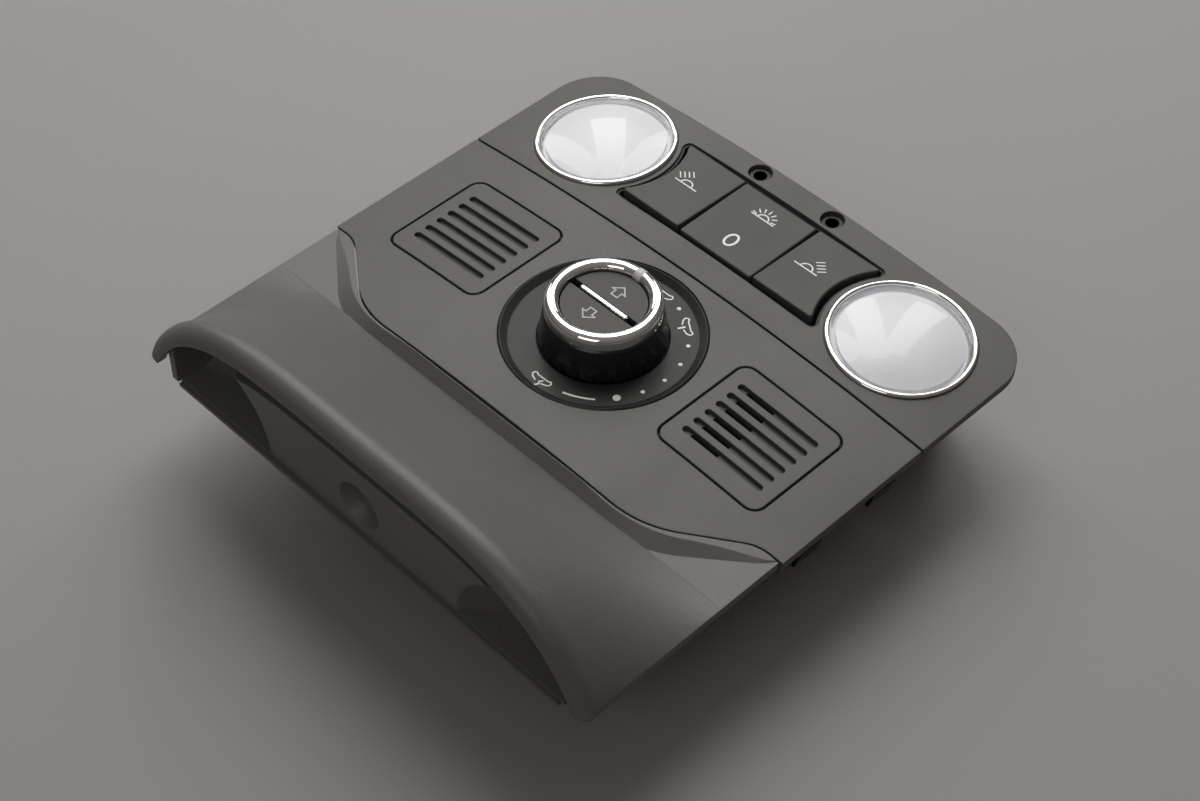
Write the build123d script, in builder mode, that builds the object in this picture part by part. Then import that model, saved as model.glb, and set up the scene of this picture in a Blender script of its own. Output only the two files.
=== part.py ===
# Overhead console with two reading lights, three lamp switches and a roof control knob.
# The part lies on the housings of its hidden side, with the visible face upwards.
# +X runs to the right of the face, +Y towards the lamps, +Z out of the face.
import os
from math import asin, cos, radians, sin, sqrt
from build123d import *

os.makedirs("parts", exist_ok=True)

# Face
FACE_Z = 42.0            # height of the face above the rest plane, on the centre line
CROWN_R = 794.0          # radius of the sideways crown of the face
HALF_W = 89.0            # half the width of the face
SKIN = 2.4               # wall of the face mouldings
SKIRT_IN = 4.0           # skirt set back from the face edge
SKIRT_T = 1.8
SKIRT_DEPTH = 12.0       # skirt of the main panel below the face
LAMP_SKIRT = 9.0         # skirt of the lens panel below the face
SEAM_GAP = 0.8           # open seam between the two panels
CORNER_R = 16.0          # back corners of the lens panel
TOUCH = 0.3              # free space between bodies that move past each other

# Plan positions
DIAL_Y = 4.25
LENS_X = 59.0
LENS_Y = 63.95
SEAM_Y = 37.95           # seam between the main panel and the lens panel
BACK_Y = 89.25
FRONT_Y = -37.45         # straight middle run of the seam in front of the dial
FRONT_BEND_X = 55.9      # where that seam turns towards the sides
SIDE_BEND_X = 80.8
SIDE_BEND_Y = -18.45
SIDE_END_Y = -17.95
BEND_R = 32.0
SIDE_BEND_R = 12.0

# Nose cover
NOSE_FRONT_Y = -89.25
NOSE_HALF_W = 88.0
NOSE_T = 2.5
NOSE_GAP = 0.6           # open seam between the nose and the main panel
VALLEY_DROP = 5.0        # lowest line of the nose below the face
VALLEY_RISE = 0.6        # height of the arch where the hood starts
BAND_RUN = 5.0           # plan width of the band that falls away from the face
BAND_SPREAD = 0.8        # the band is broader where it turns to the sides
HOOD_LAP = 2.0           # the hood starts under the foot of the band
CREST_RISE = 35.5        # front corner above the valley, before it is rounded
ARCH_N = 4.5             # shape powers of the arched nose section
ARCH_M = 1.1
LIP_H = 4.6              # height of the front lip
LIP_T = 3.0
LIP_R = 4.5              # rounding of the front corner
SHELL_EXTRA = 0.5        # the crest is thicker than the sides
TONGUE_X = 22.0          # tongues under the edge of the main panel
TONGUE_W = 14.0

# Front fascia
FASCIA_SET = 3.0         # fascia set back from the front of the nose
FASCIA_SIDE = 10.5       # fascia ends inside the width of the nose
FASCIA_T = 2.4
FASCIA_LOW = -11.5       # lower edge, measured from the face
FASCIA_TOP = 14.5        # upper edge, measured from the face
FLANGE_OUT = 1.4
FLANGE_H = 1.2
SCOOP_MID_X = 61.5       # finger scoops
SCOOP_MID_Z = -11.0
SCOOP_R = 24.0
SCOOP_DEPTH = 11.0
SCOOP_WALL = 1.8
CONE_Z = -1.5            # centre of the round recess, from the face
CONE_R = 7.7
CONE_IN_R = 5.2
CONE_DEPTH = 4.5
CUP_T = 1.4
ARM_X = 40.0             # arms that hang the fascia from the main panel
ARM_W = 12.0
ARM_T = 2.0
MIC_T = 1.8              # ringed cap in the round recess
MIC_FIT = 0.1
MIC_RINGS = 4
MIC_RIB = 0.4

# Reading lights
RING_R = 22.0
RING_T = 1.7
RING_TOP = 0.9           # crest of the ring above the face
RING_FIT = 0.1
RIM_DROP = 2.0           # seat of lens and ring below the face
LENS_RISE = 4.2          # height of the dome
LENS_T = 1.8
LENS_EDGE = 0.3
BOWL_IN = 0.8            # mouth of the reflector inside the lens
BOWL_LOW_R = 6.4
BOWL_DEPTH = 18.0
BOWL_BELLY = 0.74        # fullness of the bowl
BOWL_T = 1.2
BULB_R = 4.7
BULB_LEN = 12.0
BULB_NECK_R = 3.4
SOCKET_R = 8.0
SOCKET_LEN = 9.0
SOCKET_FIT = 0.2
SPIGOT_H = 2.2

# Switch keys
TROUGH_HALF_W = 39.6
TROUGH_AHEAD = 16.1      # front edge of the opening from the lens centres
TROUGH_BEHIND = 16.5     # back edge of the opening from the lens centres
TROUGH_R = 1.8
LENS_WEB = 1.6           # web between a lens ring and the opening
KEY_GAP = 1.6
KEY_BACK_GAP = 1.3
KEY_ARC_GAP = 2.0
KEY_SPLIT = 0.8          # between two keys
ROCKER_HALF_W = 14.0
ROCKER_BACK_GAP = 2.0
KEY_T = 2.0
KEY_WALL = 1.4
KEY_DEPTH = 7.0
KEY_CORNER_R = 0.8
KEY_EDGE_R = 0.5
KEY_PROUD = 1.0          # front edge of the two reading keys above the face
KEY_SINK = 0.2
KEY_MID_X = 25.0         # middle of the pivot and stem of a reading key
KEY_PIN_IN = 4.0         # pivot of a reading key inside its back edge
STEM_R = 1.6
STEM_IN = 5.0
STEM_LOW = 10.6          # lower end of the key stems below the face
STEM_FREE = 1.0
PIN_R = 1.5
PIN_FIT = 0.05           # running fit of the pivot pins
PIN_DROP = 5.0           # pivot axis below the face
PIN_OVER = 0.5
EAR_WALL = 1.1
EAR_T = 2.0
EAR_FREE = 0.8
POST_R = 2.2
KEY_POST_W = 4.0
ROCKER_POST_W = 8.0
FRAME_DROP = 15.0        # underside of the switch frame below the face
FRAME_T = 1.6
LINER_T = 0.8
LINER_DROP = 1.5         # rim of the switch frame below the face
LINER_FIT = 0.05
LEG_X = 60.0
LEG_Y = 22.0
LEG_R = 2.0

# Grilles
GRILLE_X = 54.6
GRILLE_Y = 6.1
GRILLE_W = 37.0
GRILLE_L = 36.4
GRILLE_R = 3.6
GRILLE_GAP = 0.8
SLOT_LEN = 29.0
SLOT_W = 2.2
SLOT_PITCH = 4.4
SLOT_COUNT = 6
FLANGE_W = 2.0           # hidden flange behind the face
FLANGE_T = 1.2
BACK_T = 1.4             # plate behind the slots
BACK_RIM = 2.0
WINDOW_SHIFT = 6.7       # window of the right plate, towards the dial
WINDOW_W = 9.8
WINDOW_L = 23.0
MIC_BOX_RIM = 2.0        # cabin microphone behind the window
MIC_BOX_H = 7.0
CAPSULE_R = 3.0
CAPSULE_H = 2.0

# Dial and knob
DIAL_R = 29.8
DIAL_FLAT_R = 27.0
DIAL_SINK = 1.7
DIAL_T = 1.6
DIAL_RIM = 0.5
DIAL_FIT = 0.15
LEDGE_T = 1.6            # ledge that carries the dial plate
LEDGE_IN = 3.0
KNOB_R = 18.6
KNOB_TAPER = 1.5
KNOB_LIFT = 0.5          # knob above the dial plate
KNOB_NECK = 0.8
KNOB_BORE = 12.6
GRIP_COUNT = 24
GRIP_START = 7.5
GRIP_R = 0.5
RING_SET = 0.2           # bright ring inside the top of the sleeve
RING_LOW = 9.4           # seat of the bright ring above the face
RING_WALL = 2.0
POINTER_W = 2.6
POINTER_FIT = 0.05
COLUMN_FIT = 0.1
CAP_UP = 2.0             # half buttons above the seat of the bright ring
CAP_T = 2.2
PRESS = 0.8              # travel of the two half buttons
BAR_W = 1.5
BAR_LEN = 18.0
BAR_PROUD = 0.6
BAR_FREE = 0.3

# Fixing screws
SCREW_X = 14.4
SCREW_IN = 4.3           # screws inside the back edge
COUNTERBORE_R = 3.7
COUNTERBORE_DEPTH = 2.0
SLEEVE_R = 3.2
SLEEVE_BORE = 2.1
SLEEVE_LOW = 20.0        # lower end of the sleeves above the rest plane
SLEEVE_PROUD = 0.6
SLEEVE_FIT = 0.05
BOSS_R = 4.1
BOSS_DEPTH = 5.4

# Lamp housing, circuit board and push switches
HOUSING_FIT = 0.3        # housing inside the skirt of the lens panel
HOUSING_T = 1.6
LENS_NOTCH = 16.0        # depth of the cut that clears the reflectors
BOARD_Z = 20.0
BOARD_T = 1.6
BOARD_W = 86.0
BOARD_L = 34.0
BOARD_POST_IN = 5.0
BOARD_POST_R = 2.5
SWITCH_W = 6.0
SWITCH_BODY_H = 3.6
SWITCH_TOP = 12.4        # top of the push switches below the face

# Control housing
CONTROL_W = 58.0
CONTROL_L = 55.0
CONTROL_T = 2.0
CONTROL_R = 4.0
LID_IN = 4.0             # lid screws inside the edge of the lid
LID_HEAD_R = 2.5
LID_HEAD_H = 1.6
LID_SHANK_R = 1.2
LID_SCREW_LEN = 11.0
LID_POST_R = 3.2

# Connectors
PLUG_W = 20.0
PLUG_H = 10.0
PLUG_DEPTH = 9.0
PLUG_WALL = 1.4
PLUG_FIT = 0.1
CONTROL_PLUG_Z = 14.0
LAMP_PLUG_X = 58.0
LAMP_PLUG_Z = 11.0
CONTACT_SIZE = 0.8
CONTACT_COUNT = 6
CONTACT_PITCH = 2.5
CONTACT_UP = 2.0
CONTACT_LEN = 5.0

# Spring clips
CLIP_Y0 = -4.75
CLIP_Y1 = 25.25
CLIP_W = 9.0
CLIP_T = 0.7
CLIP_H = 9.0
CLIP_BARB = 1.6

# Sizes that follow from others
VALLEY_Y = FRONT_Y - BAND_RUN
HOOD_Y = VALLEY_Y + HOOD_LAP
FAR_FRONT = NOSE_FRONT_Y - HALF_W / 3
FAR_BACK = SIDE_END_Y + HALF_W / 3
FASCIA_Y = NOSE_FRONT_Y + FASCIA_SET
FASCIA_HALF_W = NOSE_HALF_W - FASCIA_SIDE
MIC_STEP = (CONE_IN_R - MIC_FIT) / (MIC_RINGS + 0.25)
LENS_R = RING_R - RING_T - RING_FIT
BOWL_TOP_R = LENS_R - BOWL_IN
TROUGH_FRONT_Y = LENS_Y - TROUGH_AHEAD
TROUGH_BACK_Y = LENS_Y + TROUGH_BEHIND
TROUGH_ARC_R = RING_R + LENS_WEB
KEY_FRONT_Y = TROUGH_FRONT_Y + KEY_GAP
KEY_BACK_Y = TROUGH_BACK_Y - KEY_BACK_GAP
KEY_IN_X = ROCKER_HALF_W + KEY_SPLIT
KEY_PIN_Y = KEY_BACK_Y - KEY_PIN_IN
ROCKER_BACK_Y = TROUGH_BACK_Y - ROCKER_BACK_GAP
ROCKER_MID_Y = (KEY_FRONT_Y + ROCKER_BACK_Y) / 2
PIN_Z = FACE_Z - PIN_DROP
EAR_R = PIN_R + EAR_WALL
WINDOW_X = GRILLE_X - WINDOW_SHIFT
KNOB_TOP_R = KNOB_R - KNOB_TAPER
KNOB_RING_R = KNOB_TOP_R - RING_SET
CAP_R = KNOB_BORE - TOUCH
SCREW_Y = BACK_Y - SCREW_IN
BOARD_POST_X = BOARD_W - 2 * BOARD_POST_IN
BOARD_POST_Y = BOARD_L - 2 * BOARD_POST_IN
LID_SCREW_X = CONTROL_W - 2 * LID_IN
LID_SCREW_Y = CONTROL_L - 2 * LID_IN


def face_z(x, drop=0.0):
    return FACE_Z + drop - (CROWN_R - sqrt(CROWN_R * CROWN_R - x * x))


def at_y(y):
    return Plane(origin=(0, y, 0), x_dir=(1, 0, 0), z_dir=(0, -1, 0))


def at_x(x):
    return Plane(origin=(x, 0, 0), x_dir=(0, 1, 0), z_dir=(1, 0, 0))


def crown_band(top, bottom, half_w, y_from, y_to, mode=Mode.ADD):
    """A band that follows the crown of the face between two depths."""
    with BuildSketch(at_y(y_to)) as profile:
        with BuildLine():
            upper = ThreePointArc(
                (-half_w, face_z(half_w, top)),
                (0, face_z(0, top)),
                (half_w, face_z(half_w, top)),
            )
            lower = ThreePointArc(
                (-half_w, face_z(half_w, bottom)),
                (0, face_z(0, bottom)),
                (half_w, face_z(half_w, bottom)),
            )
            Line(upper @ 0, lower @ 0)
            Line(upper @ 1, lower @ 1)
        make_face()
    extrude(profile.sketch, amount=y_to - y_from, mode=mode)


def seam_region(z, reach, far_y, shift=0.0, run=0.0, back=0.0):
    """Plan region on one side of the nose seam, closed at far_y."""
    bend_x = FRONT_BEND_X + run * BAND_SPREAD
    bend_y = FRONT_Y - shift - run
    side_x = SIDE_BEND_X + run * BAND_SPREAD - back
    side_y = SIDE_BEND_Y - shift - run * BAND_SPREAD + back
    end_y = SIDE_END_Y - shift + back
    with BuildSketch(Plane.XY.offset(z)) as region:
        with BuildLine():
            Polyline(
                (-reach, end_y),
                (-side_x, side_y),
                (-bend_x, bend_y),
                (bend_x, bend_y),
                (side_x, side_y),
                (reach, end_y),
                (reach, far_y),
                (-reach, far_y),
                close=True,
            )
        make_face()
        fillet([v for v in region.vertices() if abs(abs(v.X) - bend_x) < 0.01], radius=BEND_R)
        fillet([v for v in region.vertices() if abs(abs(v.X) - side_x) < 0.01], radius=SIDE_BEND_R)
    return region.sketch


def arch_section(y, half_w, rise, base, low):
    """Closed section of the arched nose at one station."""
    points = []
    for step in (-90, -78, -64, -48, -32, -18, -7, 0, 7, 18, 32, 48, 64, 78, 90):
        t = radians(abs(step))
        x = half_w * sin(t) ** (2 / ARCH_N)
        z = base + rise * max(cos(t), 0.0) ** (2 / ARCH_M)
        points.append((x if step > 0 else -x, z))
    with BuildSketch(at_y(y)) as section:
        with BuildLine():
            Spline(*points)
            Polyline(points[-1], (half_w, low), (-half_w, low), points[0])
        make_face()
    return section.sketch


def lens_plane(side):
    """Plane of one lens, square to the crowned face."""
    tilt = asin(LENS_X / CROWN_R)
    return Plane(
        origin=(side * LENS_X, LENS_Y, face_z(LENS_X)),
        x_dir=(cos(tilt), 0, -side * sin(tilt)),
        z_dir=(side * sin(tilt), 0, cos(tilt)),
    )


def lathe_plane(base):
    """Plane with the radius along its first axis and the height along its second."""
    return Plane(origin=base.origin, x_dir=base.x_dir, z_dir=-base.y_dir)


def lens_axis(base):
    return Axis(base.origin, base.z_dir)


def trough_outline(inset):
    """Common opening of the three keys, with ends that follow the lenses."""
    with BuildSketch() as opening:
        with Locations((0, (TROUGH_FRONT_Y + TROUGH_BACK_Y) / 2)):
            RectangleRounded(
                2 * (TROUGH_HALF_W - inset), TROUGH_BACK_Y - TROUGH_FRONT_Y - 2 * inset, TROUGH_R - inset
            )
        with Locations((-LENS_X, LENS_Y), (LENS_X, LENS_Y)):
            Circle(TROUGH_ARC_R + inset, mode=Mode.SUBTRACT)
    return opening.sketch


def key_outline(side, inset, round_r):
    """Plan of one reading key, its outer end cut to follow the lens."""
    with BuildSketch() as plan:
        with Locations((side * (KEY_IN_X + inset), KEY_FRONT_Y + inset)):
            Rectangle(
                TROUGH_HALF_W - KEY_IN_X - 2 * inset,
                KEY_BACK_Y - KEY_FRONT_Y - 2 * inset,
                align=(Align.MIN if side > 0 else Align.MAX, Align.MIN),
            )
        with Locations((side * LENS_X, LENS_Y)):
            Circle(TROUGH_ARC_R + KEY_ARC_GAP + inset, mode=Mode.SUBTRACT)
        fillet(plan.vertices(), radius=round_r)
    return plan.sketch


# Main panel
with BuildPart() as main_panel:
    with BuildSketch(Plane.XY.offset(FACE_Z - SKIRT_DEPTH - 10)):
        with Locations((0, (SEAM_Y + FRONT_Y) / 2)):
            Rectangle(2 * (HALF_W - SKIRT_IN), SEAM_Y - FRONT_Y - 2 * SKIRT_IN)
        add(seam_region(0, HALF_W + 5, FAR_FRONT, -SKIRT_IN), mode=Mode.SUBTRACT)
        offset(amount=-SKIRT_T, mode=Mode.SUBTRACT)
    extrude(amount=SKIRT_DEPTH + 15)
    crown_band(-SKIN / 4, -SKIRT_DEPTH, HALF_W, FRONT_Y - 5, SEAM_Y, mode=Mode.INTERSECT)
    crown_band(0, -SKIN, HALF_W, FRONT_Y - 5, SEAM_Y - SEAM_GAP / 2)
    with BuildSketch(Plane.XY.offset(FACE_Z - SKIRT_DEPTH - 10)):
        add(seam_region(0, HALF_W + 5, FAR_FRONT))
    extrude(amount=SKIRT_DEPTH + 15, mode=Mode.SUBTRACT)
    # Seat of the dial plate
    with BuildSketch(Plane.XY.offset(FACE_Z - DIAL_SINK - DIAL_T - LEDGE_T)):
        with Locations((0, DIAL_Y)):
            Circle(DIAL_R + LEDGE_T)
    extrude(amount=DIAL_SINK + DIAL_T + LEDGE_T - SKIN / 2)
    with BuildSketch(Plane.XY.offset(FACE_Z - DIAL_SINK - DIAL_T)):
        with Locations((0, DIAL_Y)):
            Circle(DIAL_R + DIAL_FIT)
    extrude(amount=10, mode=Mode.SUBTRACT)
    with BuildSketch(Plane.XY.offset(FACE_Z - SKIRT_DEPTH)):
        with Locations((0, DIAL_Y)):
            Circle(KNOB_R + LEDGE_IN)
    extrude(amount=SKIRT_DEPTH, mode=Mode.SUBTRACT)
    # Openings of the two grilles
    with BuildSketch(Plane.XY.offset(FACE_Z - SKIRT_DEPTH)):
        with Locations((-GRILLE_X, GRILLE_Y), (GRILLE_X, GRILLE_Y)):
            RectangleRounded(GRILLE_W + 2 * GRILLE_GAP, GRILLE_L + 2 * GRILLE_GAP, GRILLE_R + GRILLE_GAP)
    extrude(amount=SKIRT_DEPTH + 5, mode=Mode.SUBTRACT)
main_panel.part.label = "main_panel"
export_step(main_panel.part, "parts/main_panel.step")

# Lens panel
with BuildPart() as lens_panel:
    with BuildSketch(Plane.XY.offset(FACE_Z - SKIRT_DEPTH - 10)):
        with Locations((0, (SEAM_Y + BACK_Y) / 2)):
            RectangleRounded(2 * (HALF_W - SKIRT_IN), BACK_Y - SEAM_Y - 2 * SKIRT_IN, CORNER_R - SKIRT_IN)
        offset(amount=-SKIRT_T, mode=Mode.SUBTRACT)
        with Locations((0, SCREW_Y)):
            Rectangle(2 * (SCREW_X + BOSS_R + 1), BACK_Y - TROUGH_BACK_Y, mode=Mode.SUBTRACT)
    extrude(amount=SKIRT_DEPTH + 15)
    crown_band(-SKIN / 4, -LAMP_SKIRT, HALF_W, SEAM_Y - 5, BACK_Y + 5, mode=Mode.INTERSECT)
    crown_band(0, -SKIN, HALF_W, SEAM_Y + SEAM_GAP / 2, BACK_Y)
    corners = lens_panel.edges().filter_by(Axis.Z).group_by(Axis.Y)[-1]
    fillet(corners, radius=CORNER_R)
    with BuildSketch(Plane.XY.offset(FACE_Z - BOSS_DEPTH)):
        with Locations((-SCREW_X, SCREW_Y), (SCREW_X, SCREW_Y)):
            Circle(BOSS_R)
    extrude(amount=BOSS_DEPTH - SKIN / 2)
    for side in (-1, 1):
        with BuildSketch(lens_plane(side)):
            Circle(RING_R + RING_FIT)
        extrude(amount=20, both=True, mode=Mode.SUBTRACT)
    with BuildSketch(Plane.XY.offset(FACE_Z - 20)):
        add(trough_outline(0))
    extrude(amount=30, mode=Mode.SUBTRACT)
    with BuildSketch(Plane.XY.offset(FACE_Z - COUNTERBORE_DEPTH)):
        with Locations((-SCREW_X, SCREW_Y), (SCREW_X, SCREW_Y)):
            Circle(COUNTERBORE_R)
    extrude(amount=10, mode=Mode.SUBTRACT)
    with BuildSketch(Plane.XY.offset(FACE_Z - 10)):
        with Locations((-SCREW_X, SCREW_Y), (SCREW_X, SCREW_Y)):
            Circle(SLEEVE_R + SLEEVE_FIT)
    extrude(amount=20, mode=Mode.SUBTRACT)
lens_panel.part.label = "lens_panel"
export_step(lens_panel.part, "parts/lens_panel.step")

# Nose cover: an arched hood that rises from a valley in front of the main panel
VALLEY_Z = FACE_Z - VALLEY_DROP
NOSE_LOW = VALLEY_Z - NOSE_T
SIDE_FALL = FACE_Z - face_z(NOSE_HALF_W)


def nose_rise(y):
    return VALLEY_RISE + (CREST_RISE - VALLEY_RISE) * (HOOD_Y - y) / (HOOD_Y - NOSE_FRONT_Y)


SHELL_HALF_W = NOSE_HALF_W - NOSE_T
SHELL_BACK_Y = HOOD_Y - NOSE_T
SHELL_FRONT_Y = NOSE_FRONT_Y + LIP_T
SHELL_RISE = nose_rise(SHELL_FRONT_Y) - SHELL_EXTRA - LIP_R / 3
LIP_RISE = CREST_RISE - LIP_R - LIP_H + NOSE_T
OPEN_LOW = NOSE_LOW - 2 * NOSE_T
TONGUE_Y = FRONT_Y + SKIRT_IN - SLEEVE_FIT

with BuildPart() as nose_band:
    loft(
        [
            seam_region(VALLEY_Z, NOSE_HALF_W, FAR_BACK, 0, BAND_RUN, 0),
            seam_region(FACE_Z, NOSE_HALF_W, FAR_BACK, 0, 0, SIDE_FALL),
        ],
        ruled=True,
    )
    crown_band(FACE_Z, 0, HALF_W + 5, FRONT_Y - 30, FAR_BACK + 5, mode=Mode.SUBTRACT)

with BuildPart() as nose_cover:
    loft(
        [
            arch_section(HOOD_Y, NOSE_HALF_W, VALLEY_RISE, VALLEY_Z, NOSE_LOW),
            arch_section(NOSE_FRONT_Y, NOSE_HALF_W, CREST_RISE, VALLEY_Z, NOSE_LOW),
        ],
        ruled=True,
    )
    fillet(nose_cover.edges().group_by(Axis.Y)[0].sort_by(Axis.Z)[-1:], radius=LIP_R)
    # The hood is a thin shell, open below
    loft(
        [
            arch_section(SHELL_BACK_Y, SHELL_HALF_W, nose_rise(SHELL_BACK_Y) - SHELL_EXTRA, NOSE_LOW, OPEN_LOW),
            arch_section(SHELL_FRONT_Y, SHELL_HALF_W, SHELL_RISE, NOSE_LOW, OPEN_LOW),
        ],
        ruled=True,
        mode=Mode.SUBTRACT,
    )
    # The front lip frames the opening over the fascia
    extrude(
        arch_section(NOSE_FRONT_Y - LIP_T, NOSE_HALF_W - LIP_H, LIP_RISE, NOSE_LOW, OPEN_LOW),
        amount=-3 * LIP_T,
        mode=Mode.SUBTRACT,
    )
    with BuildSketch(Plane.XY.offset(NOSE_LOW)):
        with Locations((0, (HOOD_Y + FAR_BACK) / 2)):
            Rectangle(2 * NOSE_HALF_W, FAR_BACK - HOOD_Y)
    extrude(amount=NOSE_T)
    add(nose_band.part)
    with BuildSketch(Plane.XY.offset(NOSE_LOW - 5)):
        add(seam_region(0, HALF_W + 5, FAR_BACK + 5, NOSE_GAP))
    extrude(amount=40, mode=Mode.SUBTRACT)
    # Tongues that reach under the edge of the main panel
    with BuildSketch(Plane.XY.offset(NOSE_LOW)):
        with Locations((-TONGUE_X, TONGUE_Y), (TONGUE_X, TONGUE_Y)):
            Rectangle(TONGUE_W, SKIRT_IN + 4 * NOSE_GAP, align=(Align.CENTER, Align.MAX))
    extrude(amount=NOSE_T)
nose_cover.part.label = "nose_cover"
export_step(nose_cover.part, "parts/nose_cover.step")

# Front fascia: an upright strip under the lip, with a finger scoop at each end
FASCIA_LOW_Z = FACE_Z + FASCIA_LOW
SCOOP_BALL = (SCOOP_R * SCOOP_R + SCOOP_DEPTH * SCOOP_DEPTH) / (2 * SCOOP_DEPTH)
SCOOP_C = (SCOOP_MID_X, FASCIA_Y + SCOOP_DEPTH - SCOOP_BALL, FACE_Z + SCOOP_MID_Z)
SCOOP_M = (-SCOOP_MID_X, FASCIA_Y + SCOOP_DEPTH - SCOOP_BALL, FACE_Z + SCOOP_MID_Z)
CONE_AXIS = Axis((0, 0, FACE_Z + CONE_Z), (0, 1, 0))
FASCIA_FORM = arch_section(
    FASCIA_Y, FASCIA_HALF_W, FASCIA_TOP - FASCIA_LOW, FASCIA_LOW_Z, FASCIA_LOW_Z - FLANGE_H
)
with BuildPart() as front_fascia:
    with Locations(SCOOP_C, SCOOP_M):
        Sphere(SCOOP_BALL + SCOOP_WALL)
    extrude(FASCIA_FORM, amount=-SCOOP_DEPTH - 2 * SCOOP_WALL, mode=Mode.INTERSECT)
    extrude(FASCIA_FORM, amount=-FASCIA_T)
    with BuildSketch(at_x(0)):
        with BuildLine():
            Polyline(
                (FASCIA_Y + FASCIA_T / 2, FACE_Z + CONE_Z),
                (FASCIA_Y + CONE_DEPTH + MIC_T + CUP_T, FACE_Z + CONE_Z),
                (FASCIA_Y + CONE_DEPTH + MIC_T + CUP_T, FACE_Z + CONE_Z + CONE_IN_R + CUP_T),
                (FASCIA_Y + CONE_DEPTH, FACE_Z + CONE_Z + CONE_IN_R + CUP_T),
                (FASCIA_Y + FASCIA_T / 2, FACE_Z + CONE_Z + CONE_R + CUP_T),
                close=True,
            )
        make_face()
    revolve(axis=CONE_AXIS)
    with Locations(SCOOP_C, SCOOP_M):
        Sphere(SCOOP_BALL, mode=Mode.SUBTRACT)
    with BuildSketch(at_x(0)):
        with BuildLine():
            Polyline(
                (FASCIA_Y - 1, FACE_Z + CONE_Z),
                (FASCIA_Y + CONE_DEPTH + MIC_T, FACE_Z + CONE_Z),
                (FASCIA_Y + CONE_DEPTH + MIC_T, FACE_Z + CONE_Z + CONE_IN_R),
                (FASCIA_Y + CONE_DEPTH, FACE_Z + CONE_Z + CONE_IN_R),
                (FASCIA_Y, FACE_Z + CONE_Z + CONE_R),
                (FASCIA_Y - 1, FACE_Z + CONE_Z + CONE_R),
                close=True,
            )
        make_face()
    revolve(axis=CONE_AXIS, mode=Mode.SUBTRACT)
    with BuildSketch(Plane.XY.offset(FASCIA_LOW_Z - FLANGE_H)):
        with Locations((0, FASCIA_Y + FASCIA_T / 2 - FLANGE_OUT / 2)):
            Rectangle(2 * FASCIA_HALF_W, FASCIA_T + FLANGE_OUT)
    extrude(amount=FLANGE_H)
    # Arms that hang the fascia from the skirt of the main panel
    ARM_TOP = face_z(ARM_X + ARM_W / 2, -SKIRT_DEPTH)
    with BuildSketch(Plane.XY.offset(ARM_TOP - ARM_T)):
        with Locations((-ARM_X, FASCIA_Y + FASCIA_T / 2), (ARM_X, FASCIA_Y + FASCIA_T / 2)):
            Rectangle(ARM_W, FRONT_Y + SKIRT_IN + SKIRT_T - FASCIA_Y, align=(Align.CENTER, Align.MIN))
    extrude(amount=ARM_T)
    with BuildSketch(Plane.XY.offset(ARM_TOP - ARM_T)):
        with Locations((-ARM_X, FASCIA_Y + FASCIA_T / 2), (ARM_X, FASCIA_Y + FASCIA_T / 2)):
            Rectangle(ARM_W, ARM_T, align=(Align.CENTER, Align.MIN))
    extrude(amount=FASCIA_LOW_Z + 4 - ARM_TOP + ARM_T)
front_fascia.part.label = "front_fascia"
export_step(front_fascia.part, "parts/front_fascia.step")

# Microphone cap: a round disc with raised rings, seated in the cup of the fascia
with BuildPart() as microphone_cap:
    MIC_Y = FASCIA_Y + CONE_DEPTH
    with BuildSketch(at_x(0)):
        with BuildLine():
            Polyline(
                (MIC_Y + MIC_T, FACE_Z + CONE_Z),
                (MIC_Y + MIC_T, FACE_Z + CONE_Z + CONE_IN_R - MIC_FIT),
                (MIC_Y, FACE_Z + CONE_Z + CONE_IN_R - MIC_FIT),
                (MIC_Y, FACE_Z + CONE_Z),
                close=True,
            )
        make_face()
        for ring in range(MIC_RINGS):
            with Locations((MIC_Y, FACE_Z + CONE_Z + MIC_STEP * (ring + 0.5))):
                Rectangle(2 * MIC_RIB, MIC_STEP / 2)
    revolve(axis=CONE_AXIS)
microphone_cap.part.label = "microphone_cap"
export_step(microphone_cap.part, "parts/microphone_cap.step")

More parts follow.
